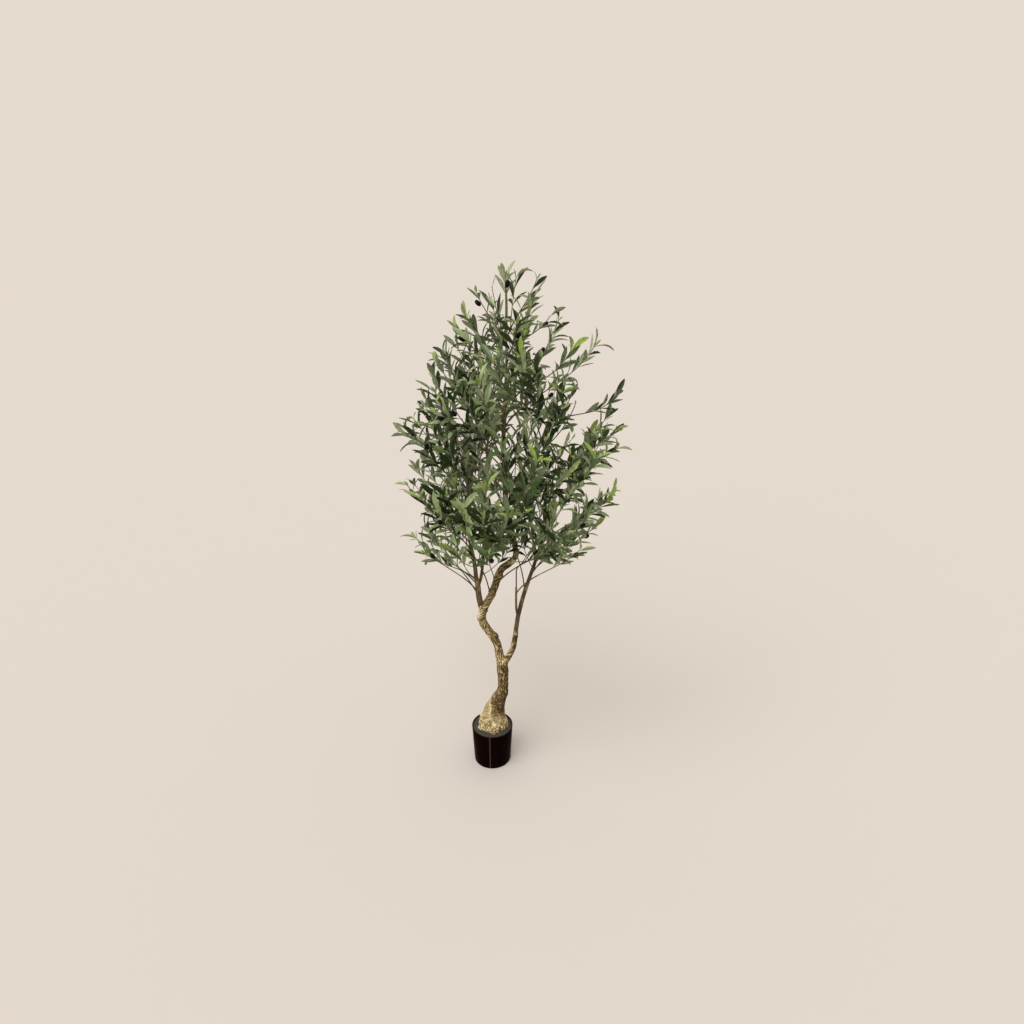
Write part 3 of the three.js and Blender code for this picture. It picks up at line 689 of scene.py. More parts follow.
# Boughs: steel rods in a skin of brown plastic with fine ridges along it, plugged into the moulded trunk and
# into each other. They carry the leafy sprays.
BOUGHS = {
    "leader": [
        (0.072, 0.004, 0.825, 0.0098),
        (0.088, 0.007, 0.848, 0.0098),
        (0.084, 0.008, 0.890, 0.0096),
        (0.071, 0.006, 0.956, 0.0093),
        (0.056, 0.002, 1.024, 0.0088),
        (0.051, 0, 1.124, 0.0084),
        (0.048, 0, 1.234, 0.0072),
        (0.050, 0.002, 1.345, 0.0059),
        (0.057, 0.003, 1.464, 0.0046),
        (0.058, 0.002, 1.590, 0.0032),
    ],
    "left_bough": [
        (-0.027, 0.007, 0.638, 0.0108),
        (-0.037, 0, 0.668, 0.0106),
        (-0.042, -0.009, 0.706, 0.0102),
        (-0.044, -0.017, 0.746, 0.0092),
        (-0.049, -0.024, 0.782, 0.0074),
        (-0.052, -0.032, 0.830, 0.0068),
        (-0.063, -0.046, 0.908, 0.0061),
        (-0.068, -0.060, 1.000, 0.0052),
        (-0.066, -0.070, 1.085, 0.0042),
    ],
    "left_inner_bough": [
        (-0.044, -0.015, 0.738, 0.0056),
        (-0.034, -0.006, 0.765, 0.0053),
        (-0.028, 0.007, 0.805, 0.0051),
        (-0.025, 0.019, 0.845, 0.0049),
        (-0.024, 0.038, 0.900, 0.0044),
        (-0.028, 0.062, 0.980, 0.0036),
        (-0.034, 0.080, 1.050, 0.003),
    ],
    "right_bough": [
        (0.088, 0.0165, 0.532, 0.0082),
        (0.093, 0.020, 0.574, 0.008),
        (0.099, 0.024, 0.610, 0.0079),
        (0.120, 0.036, 0.691, 0.0072),
        (0.157, 0.056, 0.799, 0.0062),
        (0.178, 0.068, 0.870, 0.0056),
        (0.197, 0.080, 0.950, 0.005),
        (0.208, 0.090, 1.030, 0.0042),
    ],
    "right_inner_bough": [
        (0.098, 0.023, 0.600, 0.0046),
        (0.092, 0.016, 0.626, 0.0042),
        (0.090, 0.006, 0.664, 0.0039),
        (0.090, -0.010, 0.732, 0.0036),
    ],
    "side_bough": [
        (0.053, 0.001, 1.070, 0.0048),
        (0.075, 0.006, 1.100, 0.0045),
        (0.118, 0.020, 1.166, 0.0042),
        (0.145, 0.028, 1.197, 0.004),
        (0.172, 0.036, 1.247, 0.0035),
        (0.190, 0.042, 1.300, 0.0028),
    ],
}
BOUGH_STEPS = 120
# The blunt tip of a rod: how far past its end, and how thick, as shares of its radius
ROD_TIP = [(0.4, 0.85), (0.7, 0.5)]
# Heights over which the brown of the leader turns green
GREEN_RISE = (1.36, 1.50)


def drawn_lines(name, lines):
    """A mesh of loose lines, from arrays of points with the thickness there as a fourth number."""
    points = np.vstack(lines)
    starts = np.cumsum([0] + [len(line) for line in lines])
    edges = [(i, i + 1) for start, end in zip(starts, starts[1:]) for i in range(start, end - 1)]
    mesh = bpy.data.meshes.new(name)
    mesh.from_pydata(points[:, :3], edges, [])
    keep_on_points(mesh, thickness=points[:, 3])
    return mesh


def rounded_end(path):
    """A limb's path with its last end drawn in to a blunt round tip."""
    way = unit(path[-1, :3] - path[-2, :3])
    radius = path[-1, 3]
    tips = []
    for run, share in ROD_TIP:
        tips.append((*(path[-1, :3] + way * radius * run), radius * share))
    return np.vstack([path, tips])


def ridged_rod(values):
    """The tree that sweeps round rods along lines, with ridges that run along them."""
    tree, result, given = growth_tree("ridged_rod", values)
    start = given["Geometry"]
    line = start.node("GeometryNodeMeshToCurve", None, {"Mesh": start})
    sockets = {"Curve": line, "Length": given["Ring spacing"]}
    line = start.node("GeometryNodeResampleCurve", {"mode": "LENGTH"}, sockets)
    line = line.stored("along", start.node("GeometryNodeSplineParameter", output="Length"))
    sockets = {"Resolution": given["Sides"], "Radius": 1.0}
    ring = start.node("GeometryNodeCurvePrimitiveCircle", None, sockets)
    ring = ring.stored("round", start.node("GeometryNodeSplineParameter", output="Factor") * (2 * math.pi))
    angle, along, thickness = (start.named(name) for name in ("round", "along", "thickness"))
    sockets = {"Curve": line, "Profile Curve": ring, "Scale": thickness, "Fill Caps": True}
    rod = start.node("GeometryNodeCurveToMesh", None, sockets)

    ridge = streaks(start, angle, thickness / given["Ridge width"], along / given["Ridge length"], 0.55)
    position = start.node("GeometryNodeInputPosition")
    knot = start.noise(position, 1 / given["Knot spacing"], 1.0).ramp(0.5, 0.8)
    rod = rod.stored("relief", ridge * 0.75 + knot * 0.5)
    push = (ridge - 0.5) * given["Ridge depth"] + knot * given["Knot height"]
    rod = rod.moved(Offset=start.node("GeometryNodeInputNormal").scaled(push))
    end_tree(rod, given["Skin"], result)
    return tree


smooth_bark, shader, wire = finish("smooth_bark", Specular_IOR_Level=0.35)
place = wire.node("ShaderNodeTexCoord", output="Object")
relief = wire.node("ShaderNodeAttribute", {"attribute_name": "relief"}, output="Fac")
patch = wire.noise(place, 22, 3, 0.6)
fleck = wire.noise(place.stretched(520, 520, 130), 1, 3, 0.65)
tone = relief + (patch - 0.5) * 0.6 + (fleck - 0.5) * 0.5
stops = [
    (0.16, paint(46, 36, 22)),
    (0.38, paint(78, 64, 40)),
    (0.58, paint(106, 90, 59)),
    (0.85, paint(146, 130, 94)),
]
brown = wire.node("ShaderNodeValToRGB", {"stops": stops}, {"Fac": tone}, "Color")
green = tone.ramp(0.2, 0.9).blend(paint(96, 104, 70), paint(150, 156, 118))
place.part("Z").ramp(*GREEN_RISE).blend(brown, green).to(shader["Base Color"])
(0.8 - tone.ramp(0.2, 0.9) * 0.25).to(shader["Roughness"])
fleck.bump(0.0006, 0.5).to(shader["Normal"])

rod_values = {
    "Sides": 28,
    "Ring spacing": 0.0022,
    "Ridge width": 0.0028,
    "Ridge length": 0.022,
    "Ridge depth": 0.0011,
    "Knot spacing": 0.030,
    "Knot height": 0.0009,
    "Skin": smooth_bark,
}
for name, stations in BOUGHS.items():
    line = drawn_lines(name, [rounded_end(smooth_path(stations, BOUGH_STEPS))])
    dress(grown(f"{name}_skin", line, ridged_rod, rod_values), "smooth_bark", name)


# Sprays: plastic stems on wire, each pushed into a bough or into the trunk and bent up and out. A stem
# branches into side twigs, and the twigs and the stem's end carry the leaves.
LIMBS = {"trunk": TRUNK, "right_stub": RIGHT_STUB, **BOUGHS}
LIMB_ORDER = [
    "trunk", "leader", "left_bough", "left_inner_bough",
    "right_stub", "right_bough", "right_inner_bough", "side_bough",
]
# Crown outline seen from the front: height, leftmost x and rightmost x of the leaf tips
OUTLINE = np.array([
    (0.800, -0.170, 0.210),
    (0.850, -0.235, 0.295),
    (0.935, -0.298, 0.376),
    (1.120, -0.320, 0.464),
    (1.330, -0.314, 0.460),
    (1.420, -0.236, 0.447),
    (1.580, -0.168, 0.374),
    (1.660, -0.122, 0.246),
    (1.760, -0.020, 0.175),
    (1.775, 0.018, 0.108),
    (1.800, 0.012, 0.108),
])
CROWN_DEPTH = 0.96
CROWN_BOTTOM = 0.815
# Tiers of sprays: height of the leaf tips on the left and on the right, sprays in the tier, the turn of the
# first, and how far the rest are drawn in towards the sides
TIERS = [
    (0.872, 0.888, 4, 45, 20),
    (0.940, 0.975, 8, 0, 0),
    (1.131, 1.110, 8, 0, 0),
    (1.318, 1.255, 8, 0, 0),
    (1.412, 1.421, 6, 0, 0),
    (1.512, 1.575, 6, 0, 0),
    (1.620, 1.656, 4, 20, 0),
    (1.723, 1.759, 2, 0, 0),
]
TOP = np.array([0.055, 0.002, 1.800])
# Where the tree is looked at from, and the openings that show sky from there: their place across and up on
# the plane through the tree's middle, and their radius
EYE = np.array([0.07526, -1.88, 1.65])
OPENINGS = np.array([
    (0.34, 1.44, 0.050), (0.30, 1.39, 0.024), (0.20, 1.70, 0.022), (0.18, 1.63, 0.022),
    (0.16, 1.57, 0.028), (0.285, 1.60, 0.022), (0.12, 1.735, 0.022), (0.0, 1.735, 0.020),
    (-0.12, 1.65, 0.022), (-0.26, 1.36, 0.028), (0.31, 1.33, 0.022), (0.225, 1.26, 0.024),
    (-0.09, 1.33, 0.024), (0.43, 1.16, 0.020), (0.44, 1.06, 0.016), (-0.27, 0.98, 0.028),
    (0.075, 0.822, 0.017), (0.02, 1.19, 0.012), (0.09, 1.14, 0.012), (0.02, 1.06, 0.014),
    (0.185, 1.505, 0.018), (0.19, 1.46, 0.014), (0.19, 1.41, 0.018), (0.165, 1.29, 0.018),
    (0.29, 1.26, 0.016), (0.27, 1.35, 0.018), (0.27, 1.47, 0.013), (0.25, 1.20, 0.014),
    (0.24, 1.29, 0.013), (0.34, 1.08, 0.020), (0.37, 1.12, 0.015), (0.25, 0.99, 0.020),
    (0.235, 0.95, 0.015), (0.30, 0.87, 0.016), (0.11, 1.67, 0.014), (0.03, 1.71, 0.012),
    (-0.02, 1.66, 0.020), (-0.02, 1.61, 0.013), (-0.09, 0.90, 0.014), (-0.055, 0.855, 0.013),
    (-0.22, 1.40, 0.016), (-0.26, 1.14, 0.018), (-0.25, 1.04, 0.014), (-0.21, 1.26, 0.012),
    (-0.13, 1.46, 0.011), (0.01, 0.83, 0.012),
])
# Seats along the limbs: the steps in which a limb is measured, the lowest seat, the step from one seat to the
# next, the room that each needs, how much a limb's own end is preferred, and how much the stem's slope counts
LIMB_STEPS = 200
LOWEST_SEAT = 0.690
SEAT_STEP = 0.004
SEAT_SPACING = 0.017
END_PULL = 0.130
SLOPE_WEIGHT = 2
# Stems as the solids have them: their points, the room round them, their slope and arch, how their tips
# stray, and how far short of the leaf tips they end
STEM_POINTS = 48
STEM_MARGIN = 0.007
STEM_SLOPE = 0.95
STEM_ARCH = 0.16
TURN_JITTER = 14
TIP_JITTER = 0.016
TIP_REACH_OUT = 0.070
TIP_REACH_UP = 0.038
TOP_REACH = 0.094
# Stems as they look: their radii, thicker for the top one, and the share of the length that is still brown
STEM_RADIUS = 0.0023
STEM_TIP_RADIUS = 0.0014
TOP_STEM_RADIUS = 0.0044
TOP_STEM_TIP_RADIUS = 0.0026
STEM_GREEN_FROM = 0.4
# How far they follow their limb, from a limb's own end too if they are steep, and how they rise to their tips
STEM_LEAD = 0.7
END_LEAD = 2.0
STEEP = 0.45
STEM_KEEP = 0.36
END_STRAIGHT = 0.080
END_POINTS = 8
STEM_RISE = 1.2
RISE_LIMIT = 1.2
# How far they go on past the solids' tips, and how the lowest are kept up
END_LIFT = 0.4
END_REACH = 0.022
TOP_END_REACH = 0.034
UPPER_END_REACH = 0.046
UPPER_TIERS = 1.66
LOW_TIP_RISE = 0.035
LOW_TIERS = (0.88, 1.10)
CROWN_SKIRT = 0.43
# Side twigs: the length of stem to each, from the crown's left side to its right, where on the stem they
# leave, at what angle and turn, in degrees
TWIG_SIDES = (-0.15, 0.25)
STEM_PER_TWIG = (0.050, 0.078)
TWIG_FROM = 0.16
TWIG_TO = 0.74
TWIG_STAGGER = 0.5
TWIG_ANGLE = 26
TWIG_ANGLE_STRAY = 8
TWIG_LENGTH_STRAY = 0.15
TWIG_TURN = 137.5
# A twig bends partway along it towards its stem's run and up, and is cut until it ends inside the crown
TWIG_BEND = 0.45
TWIG_REST = 0.55
TWIG_OWN_WAY = 0.6
TWIG_STEM_WAY = 0.4
TWIG_LIFT = 0.35
TWIG_INSET = 0.042
TWIG_LEAST = 0.06
TWIG_CUT = 0.85
# Of some tries round its stem it takes the clearest of the limbs and of other twigs
TWIG_TRIES = 6
TWIG_MARGIN = 0.004
TWIG_SPACING = 0.019
TWIG_POINTS = 16
TWIG_RADIUS = 0.0016
TWIG_TIP_RADIUS = 0.0011
# Shoots straight from the boughs. The low ones stand closer, lean out more and are drawn to the front
SHOOT_FROM = 0.775
SHOOT_SPACING = 0.066
SHOOT_NEAREST = 0.7
SHOOT_STAGGER = 0.6
SHOOT_LENGTH = 0.180
SHOOT_LENGTH_STRAY = 0.25
SHOOT_ANGLE = 34
SHOOT_ANGLE_STRAY = 10
LOW_SHOOT = 0.940
LOW_SHOOT_SPACING = 0.026
LOW_SHOOT_ANGLE = 52
LOW_SHOOT_PULL = 0.6
SEED = 103
UP = np.array([0, 0, 1.0])


def chance(*keys):
    """A number from 0 to 1 that depends only on the whole numbers given. The last tells the draws apart."""
    h = SEED
    for key in keys:
        h = ((h ^ (key + 1)) * 0x9E3779B1) & 0xFFFFFFFF
        h ^= h >> 15
    h = (h * 0x85EBCA6B) & 0xFFFFFFFF
    return (h ^ (h >> 13)) / 2**32


def spread(*keys):
    return 2 * chance(*keys) - 1


def outline_at(z):
    """The crown's middle and half width at a height."""
    left, right = (np.interp(z, OUTLINE[:, 0], OUTLINE[:, side]) for side in (1, 2))
    return (left + right) / 2, (right - left) / 2


def stem_tips():
    """The stem tips, tier by tier. Each stops short of the outline by the reach of its last leaves."""
    tips = []
    for tier, (left, right, sprays, turn, drawn) in enumerate(TIERS):
        for k in range(sprays):
            even = math.radians(k * 360 / sprays + turn)
            is_in_plane = abs(math.sin(even)) < 1e-6
            jitter = 0 if is_in_plane else TURN_JITTER * spread(tier, k, 1)
            azimuth = even + math.radians(jitter - drawn * math.sin(2 * even))
            side = (1 + math.cos(azimuth)) / 2
            leaf_tip = left + (right - left) * side + TIP_JITTER * spread(tier, k, 2) * (not is_in_plane)
            middle, half = outline_at(leaf_tip)
            reach = half - TIP_REACH_OUT
            x, y = middle + reach * math.cos(azimuth), reach * CROWN_DEPTH * math.sin(azimuth)
            tips.append(np.array([x, y, leaf_tip - TIP_REACH_UP]))
    return tips


def bent_line(start, bend, end, steps):
    """Points of the curve that leaves its start towards the bend and comes to its end from there."""
    t = np.linspace(0, 1, steps + 1)[:, None]
    return (1 - t) ** 2 * start + 2 * t * (1 - t) * bend + t**2 * end


def stem_line(seat, tip):
    """A stem leaves its seat steeply and arches over towards its tip."""
    lift = STEM_ARCH * np.linalg.norm(tip - seat)
    return bent_line(seat, (seat + tip) / 2 + UP * lift, tip, STEM_POINTS)


def length_of(line):
    return np.linalg.norm(np.diff(line, axis=0), axis=1).sum()


limb_names, limb_points, limb_ends = [], [], []
for name in LIMB_ORDER:
    count = round(length_of(smooth_path(LIMBS[name], LIMB_STEPS)[:, :3]) / SEAT_STEP)
    limb_points.append(smooth_path(LIMBS[name], count))
    limb_names += [name] * (count + 1)
    limb_ends += [False] * count + [True]
limb_names, limb_ends = np.array(limb_names), np.array(limb_ends)
limb_points = np.vstack(limb_points)
limb_radii = limb_points[:, 3]
limb_points = limb_points[:, :3]
stems = []


def gaps(points, others):
    """Distance from each of some points to each of some others."""
    return np.linalg.norm(points[:, None] - others[None], axis=2)


def plant(tip, seats):
    """Plants a spray: of the free seats from which a clear stem can rise to this tip, it takes the one where
    the stem is short and rises nearest to the usual slope, and a limb's own end before a seat along it."""
    at = limb_points[seats]
    plan = np.hypot(*(tip - at)[:, :2].T)
    off_slope = np.abs(tip[2] - at[:, 2] - STEM_SLOPE * plan)
    cost = SLOPE_WEIGHT * off_slope + plan - limb_ends[seats] * END_PULL
    for seat in seats[np.argsort(cost, kind="stable")]:
        limb = limb_names[seat]
        taken = [s["line"][0, 2] for s in stems if s["limb"] == limb]
        if any(abs(z - limb_points[seat, 2]) < SEAT_SPACING for z in taken):
            continue
        line = stem_line(limb_points[seat], tip)
        outside = line[np.linalg.norm(line - limb_points[seat], axis=1) > limb_radii[seat]]
        others = limb_names != limb
        if (gaps(outside, limb_points[others]) <= limb_radii[others] + STEM_MARGIN).any():
            continue
        if any((gaps(outside, s["outside"]) <= STEM_MARGIN).any() for s in stems):
            continue
        near = limb_points[[seat - 1, seat] if limb_ends[seat] else [seat, seat + 1]]
        run = unit(near[1] - near[0])
        stems.append({"limb": limb, "line": line, "outside": outside, "run": run, "at_end": limb_ends[seat]})
        return


seats = np.flatnonzero(limb_points[:, 2] >= LOWEST_SEAT)
plant(TOP - UP * TOP_REACH, seats[(limb_names[seats] == "leader") & limb_ends[seats]])
for tip in stem_tips():
    plant(tip, seats)


def crown_bottom(y):
    """How low the leaves reach: the crown's bottom rises towards the front."""
    return CROWN_BOTTOM + CROWN_SKIRT * np.maximum(-y, 0)


def inside_crown(points, margin):
    middle, half = outline_at(points[:, 2])
    is_level = (points[:, 2] >= crown_bottom(points[:, 1])) & (points[:, 2] <= TOP[2] + margin)
    return is_level & (np.hypot(points[:, 0] - middle, points[:, 1] / CROWN_DEPTH) < half + margin)


def in_opening(points):
    share = EYE[1] / (EYE[1] - points[:, 1:2])
    seen = EYE[[0, 2]] + (points[:, [0, 2]] - EYE[[0, 2]]) * share
    return (gaps(seen, OPENINGS[:, :2]) < OPENINGS[:, 2]).any(axis=1)


def carried_on(spray):
    """The stem as it looks: it leaves along its limb, a steep one straight on from a limb's own end, then
    rises more and more, and goes past the solid's tip to where its last leaves reach the outline."""
    seat, tip = spray["line"][0], spray["line"][-1]
    if spray is stems[0]:
        tip = tip + UP * TOP_END_REACH
    else:
        out = np.array([tip[0] - outline_at(tip[2])[0], tip[1], 0])
        reach = UPPER_END_REACH if tip[2] > UPPER_TIERS else END_REACH
        tip = tip + unit(unit(out) + END_LIFT * UP) * reach
        tip[2] = max(tip[2], crown_bottom(tip[1]) + LOW_TIP_RISE)
    climb = unit(tip - seat)[2]
    goes_on = spray["at_end"] and climb > STEEP
    points = END_POINTS * goes_on
    start = seat + spray["run"] * END_STRAIGHT * goes_on
    straight = seat + (start - seat) * np.linspace(0, 1, points, endpoint=False)[:, None]
    way = unit(tip - start)
    length = np.linalg.norm(tip - start)
    height = np.interp(tip[2], LOW_TIERS, (0, 1))
    lead = END_LEAD if goes_on else STEM_LEAD * climb**height
    leaving = start + unit(way + spray["run"] * lead) * STEM_KEEP * length
    arriving = tip - unit(way + UP * STEM_RISE * (RISE_LIMIT - climb) * height) * STEM_KEEP * length
    t = np.linspace(0, 1, STEM_POINTS + 1 - points)[:, None]
    bend = (1 - t) ** 3 * start + 3 * t * (1 - t) ** 2 * leaving + 3 * t**2 * (1 - t) * arriving + t**3 * tip
    return np.vstack([straight, bend])


def square_to(frames, step, roll):
    """The direction square to a path at one of its steps, at a roll round it."""
    _, overs, asides = frames
    return overs[step] * math.cos(roll) + asides[step] * math.sin(roll)


def rising_twig(start, run, out, angle, length):
    """A twig that leaves its stem at an angle and bends back towards the stem's run and up."""
    way = run * math.cos(angle) + out * math.sin(angle)
    bend = start + way * length * TWIG_BEND
    end = bend + unit(TWIG_OWN_WAY * way + TWIG_STEM_WAY * run + TWIG_LIFT * UP) * length * TWIG_REST
    line = bent_line(start, bend, end, TWIG_POINTS)
    while not inside_crown(line[-1:], -TWIG_INSET)[0] and length > TWIG_LEAST:
        length *= TWIG_CUT
        line = start + (line - start) * TWIG_CUT
    return line


def twig_tries(path, frames, step, angle, length, turn, first):
    """Twigs that could leave a path at one of its steps, at even rolls round it."""
    tries = []
    for attempt in range(TWIG_TRIES):
        roll = math.radians(turn + 360 * (first + attempt / TWIG_TRIES))
        out = square_to(frames, step, roll)
        tries.append(rising_twig(path[step], frames[0][step], out, angle, length))
    return tries


def grow(twigs, tries, limb, pull=0.0):
    """Adds to some twigs the try that is furthest from what has grown before, or that the pull draws to the
    front, if any is clear. The first points of a try lie at its stem and aren't tested."""
    others = limb_names != limb
    is_clear = lambda line: (
        not in_opening(line[4:]).any()
        and (gaps(line[3:], limb_points[others]) > limb_radii[others] + TWIG_MARGIN).all()
    )
    before = np.vstack(grown_lines)
    room = {k: gaps(line[6:], before).min() for k, line in enumerate(tries) if is_clear(line)}
    free = [k for k in room if room[k] > TWIG_SPACING]
    if free:
        best = max(free, key=lambda k: room[k] - pull * tries[k][-1, 1])
        twigs.append(tries[best])
        grown_lines.append(tries[best])


def side_twigs(index, spray):
    """The twigs of a stem, from low to high, turning round it as they go."""
    stem = spray["line"]
    frames = frames_along(stem)
    full = length_of(stem)
    count = round(full / np.interp(stem[-1, 0], TWIG_SIDES, STEM_PER_TWIG))
    first = max(TWIG_FROM, np.argmax(inside_crown(stem, 0)) / STEM_POINTS)
    twigs = []
    for k in range(count):
        share = first + (TWIG_TO - first) * (k + TWIG_STAGGER * chance(index, k, 9)) / count
        step = round(share * STEM_POINTS)
        angle = math.radians(TWIG_ANGLE + TWIG_ANGLE_STRAY * spread(index, k, 23))
        length = full * (1 - share) * (1 + TWIG_LENGTH_STRAY * spread(index, k, 11))
        tries = twig_tries(stem, frames, step, angle, length, TWIG_TURN * k, chance(index, 21))
        grow(twigs, tries, spray["limb"])
    return twigs


def bough_shoots():
    """Leafy shoots straight from the boughs, turning round each one as they go up it."""
    shoots = []
    for bough, (name, stations) in enumerate(BOUGHS.items()):
        path = smooth_path(stations, BOUGH_STEPS)[:, :3]
        if path[-1, 2] < SHOOT_FROM:
            continue
        frames = frames_along(path)
        far = distances(path)
        reached = far[np.argmax(path[:, 2] > SHOOT_FROM)]
        k = 0
        while reached < far[-1]:
            step = np.searchsorted(far, reached)
            is_low = path[step, 2] < LOW_SHOOT
            lean, spacing = (LOW_SHOOT_ANGLE, LOW_SHOOT_SPACING) if is_low else (SHOOT_ANGLE, SHOOT_SPACING)
            angle = math.radians(lean + SHOOT_ANGLE_STRAY * spread(bough, k, 73))
            length = SHOOT_LENGTH * (1 + SHOOT_LENGTH_STRAY * spread(bough, k, 74))
            tries = twig_tries(path, frames, step, angle, length, TWIG_TURN * k, chance(bough, 72))
            grow(shoots, tries, name, LOW_SHOOT_PULL * is_low)
            k += 1
            reached += spacing * (SHOOT_NEAREST + SHOOT_STAGGER * chance(bough, k, 71))
    return shoots


def tapered(line, base, tip):
    return np.column_stack([line, np.linspace(base, tip, len(line))])


spray_names = [f"spray_{number:02d}" for number in range(1, len(stems) + 1)]
for spray in stems:
    spray["line"] = carried_on(spray)
grown_lines = [spray["line"] for spray in stems]
for index, spray in enumerate(stems):
    spray["twigs"] = side_twigs(index, spray)
shoots = bough_shoots()
stem_lines, twig_lines = [], []
green_from = round(STEM_GREEN_FROM * STEM_POINTS)
for spray in stems[1:]:
    line = tapered(spray["line"], STEM_RADIUS, STEM_TIP_RADIUS)
    stem_lines.append(line[: green_from + 1])
    twig_lines.append(line[green_from:])
twig_lines.append(tapered(stems[0]["line"], TOP_STEM_RADIUS, TOP_STEM_TIP_RADIUS))
for line in [line for spray in stems for line in spray["twigs"]] + shoots:
    twig_lines.append(tapered(line, TWIG_RADIUS, TWIG_TIP_RADIUS))


def mottled(name, colour, scale, roughness, relief, **values):
    """A finish whose colour, gloss and surface vary a little from place to place."""
    material, shader, wire = finish(name, **values)
    cloud = wire.noise(wire.node("ShaderNodeTexCoord", output="Object"), scale, 3, 0.6)
    darker, lighter = ((*(part * share for part in colour[:3]), 1.0) for share in (0.78, 1.22))
    cloud.ramp(0.3, 0.7).blend(darker, lighter).to(shader["Base Color"])
    (cloud * 0.3 + (roughness - 0.15)).to(shader["Roughness"])
    cloud.bump(relief, 0.5).to(shader["Normal"])
    return material


plain_rod = {**rod_values, "Ring spacing": 0.009, "Ridge depth": 0.0, "Knot height": 0.0}
for name, lines, sides, colour in (
    ("stem", stem_lines, 8, paint(78, 70, 47)),
    ("twig", twig_lines, 6, paint(104, 110, 76)),
):
    skin = mottled(f"{name}_skin", colour, 180, 0.7, 0.0006, Specular_IOR_Level=0.2)
    line = drawn_lines(f"spray_{name}s", lines)
    piece = grown(f"spray_{name}s", line, ridged_rod, {**plain_rod, "Sides": sides, "Skin": skin})
    dress(piece, "foliage", *spray_names)


# Leaves: narrow blades stamped from printed cloth and pressed to a fold along the midrib, in pairs along the
# twigs. The upper side is green, the underside a paler grey green, and the young leaves at the tips are
# yellow green.
LEAF_LENGTH = 0.070
LEAF_WIDTH = 0.0163
LEAF_FOLD = 0.42
LEAF_THICKNESS = 0.0005
LEAF_OUTLINE = [(0, 0.10), (0.12, 0.15), (0.30, 0.62), (0.52, 1.0), (0.72, 0.88), (0.90, 0.44), (1, 0.0)]
# Pairs along a stem and along a twig: from and to which share of it, and the length to each pair
STEM_PAIRS = (0.40, 0.97, 0.0245)
TWIG_PAIRS = (0.30, 0.95, 0.0255)
# Their angle, in degrees, and their size, with how much less both are at the tip and how they stray, and how
# the pairs stray along the sprig and round it
LEAF_ANGLE = 42
LEAF_ANGLE_FALL = 20
LEAF_ANGLE_STRAY = 9
LEAF_SIZE = 1.02
LEAF_SIZE_FALL = 0.14
LEAF_SIZE_STRAY = 0.16
PAIR_STAGGER = 0.3
PAIR_ROLL_STRAY = 20
# The leaves round a tip, and the buds between them, which close a little more
TIP_LEAVES = 2
TIP_LEAF_ANGLE = 24
TIP_SIZE = 0.94
TIP_SIZE_STRAY = 0.18
TIP_STEP = 0.002
TIP_ROLL_STRAY = 0.4
TIP_BUDS = 2
BUD_SIZE = 0.45
BUD_CLOSING = 8
# Curl in radians, the share of leaves that curl more, twist in radians, roll in degrees, and how much the
# face turns up and out
LEAF_CURL = 0.15
LEAF_CURL_RANGE = 0.9
LEAF_CURL_POWER = 1.6
CURLED_SHARE = 0.12
CURLED_MORE = 0.7
LEAF_TWIST = 0.5
LEAF_ROLL = 24
FACE_UP = 0.5
FACE_OUT = 0.4
# Where along it a leaf is tested, how far it may pass the outline, and how clear it stays of the trunk and of
# other limbs. A leaf without room is cut shorter, but not near the top of the crown
LEAF_TESTED = (0.4, 0.7, 1.0)
LEAF_OVERHANG = 0.008
TRUNK_CLEARANCE = 0.010
LIMB_CLEARANCE = 0.003
LEAF_CUTS = (1.0, 0.82, 0.66)
FULL_LEAVES_ABOVE = 1.60
# Chances that a sprig is deep, that it is deep or mid, that its tip is young, that it is young or light, and
# that a leaf has its sprig's own tint
DEEP_CHANCE = 0.46
MID_CHANCE = 0.78
YOUNG_CHANCE = 0.11
LIGHT_CHANCE = 0.36
OWN_CHANCE = 0.72
OLDER_TINTS = ("deep", "mid", "olive")
# The sprigs on the boughs are numbered from here, past those of the sprays
FIRST_SHOOT = 100
# Colours of the upper side and the underside, and how much the upper side shines
LEAF_TINTS = {
    "deep": (paint(30, 46, 12), paint(118, 130, 99), 0.22),
    "mid": (paint(77, 99, 54), paint(154, 166, 134), 0.60),
    "olive": (paint(126, 146, 96), paint(182, 190, 158), 0.90),
    "light": (paint(130, 153, 80), paint(168, 179, 132), 0.65),
    "young": (paint(134, 156, 70), paint(156, 170, 104), 0.30),
}


def blade_mesh():
    """The leaf's blade: a thin closed sheet, with its share of the length and of the width on each point."""
    rows = []
    for along, half in LEAF_OUTLINE[:-1]:
        rows += [(along, half, -1, 0), (along, half, 0, 0), (along, half, 1, 0), (along, half, 0, 1)]
    rows.append((1, 0, 0, 0))
    last = len(rows) - 1
    faces, under = [], []
    for first in range(0, last, 4):
        for a, b in ((0, 1), (1, 2), (2, 3), (3, 0)):
            beyond = (last,) if first + 4 == last else (first + a + 4, first + b + 4)
            faces.append((first + b, first + a, *beyond))
            under.append(3 in (a, b))
    faces.append((0, 1, 2, 3))
    under.append(True)
    rows = np.array(rows, float)
    # The places given here only have to differ, as the node tree sets each point in its place
    mesh = bpy.data.meshes.new("blade")
    mesh.from_pydata(rows[:, (0, 2, 3)] * (1, 0.1, -0.01), [], faces)
    keep_on_points(mesh, along=rows[:, 0], half=rows[:, 1], across=rows[:, 2], below=rows[:, 3])
    mesh.attributes.new("under", "BOOLEAN", "FACE").data.foreach_set("value", under)
    mesh.shade_smooth()
    for edge in mesh.edges:
        ends = [rows[v, 2:] for v in edge.vertices]
        is_rim = all(across != 0 or v == last for (across, _), v in zip(ends, edge.vertices))
        is_midrib = all(across == 0 and below == 0 for across, below in ends)
        edge.use_edge_sharp = is_rim or is_midrib
    return mesh


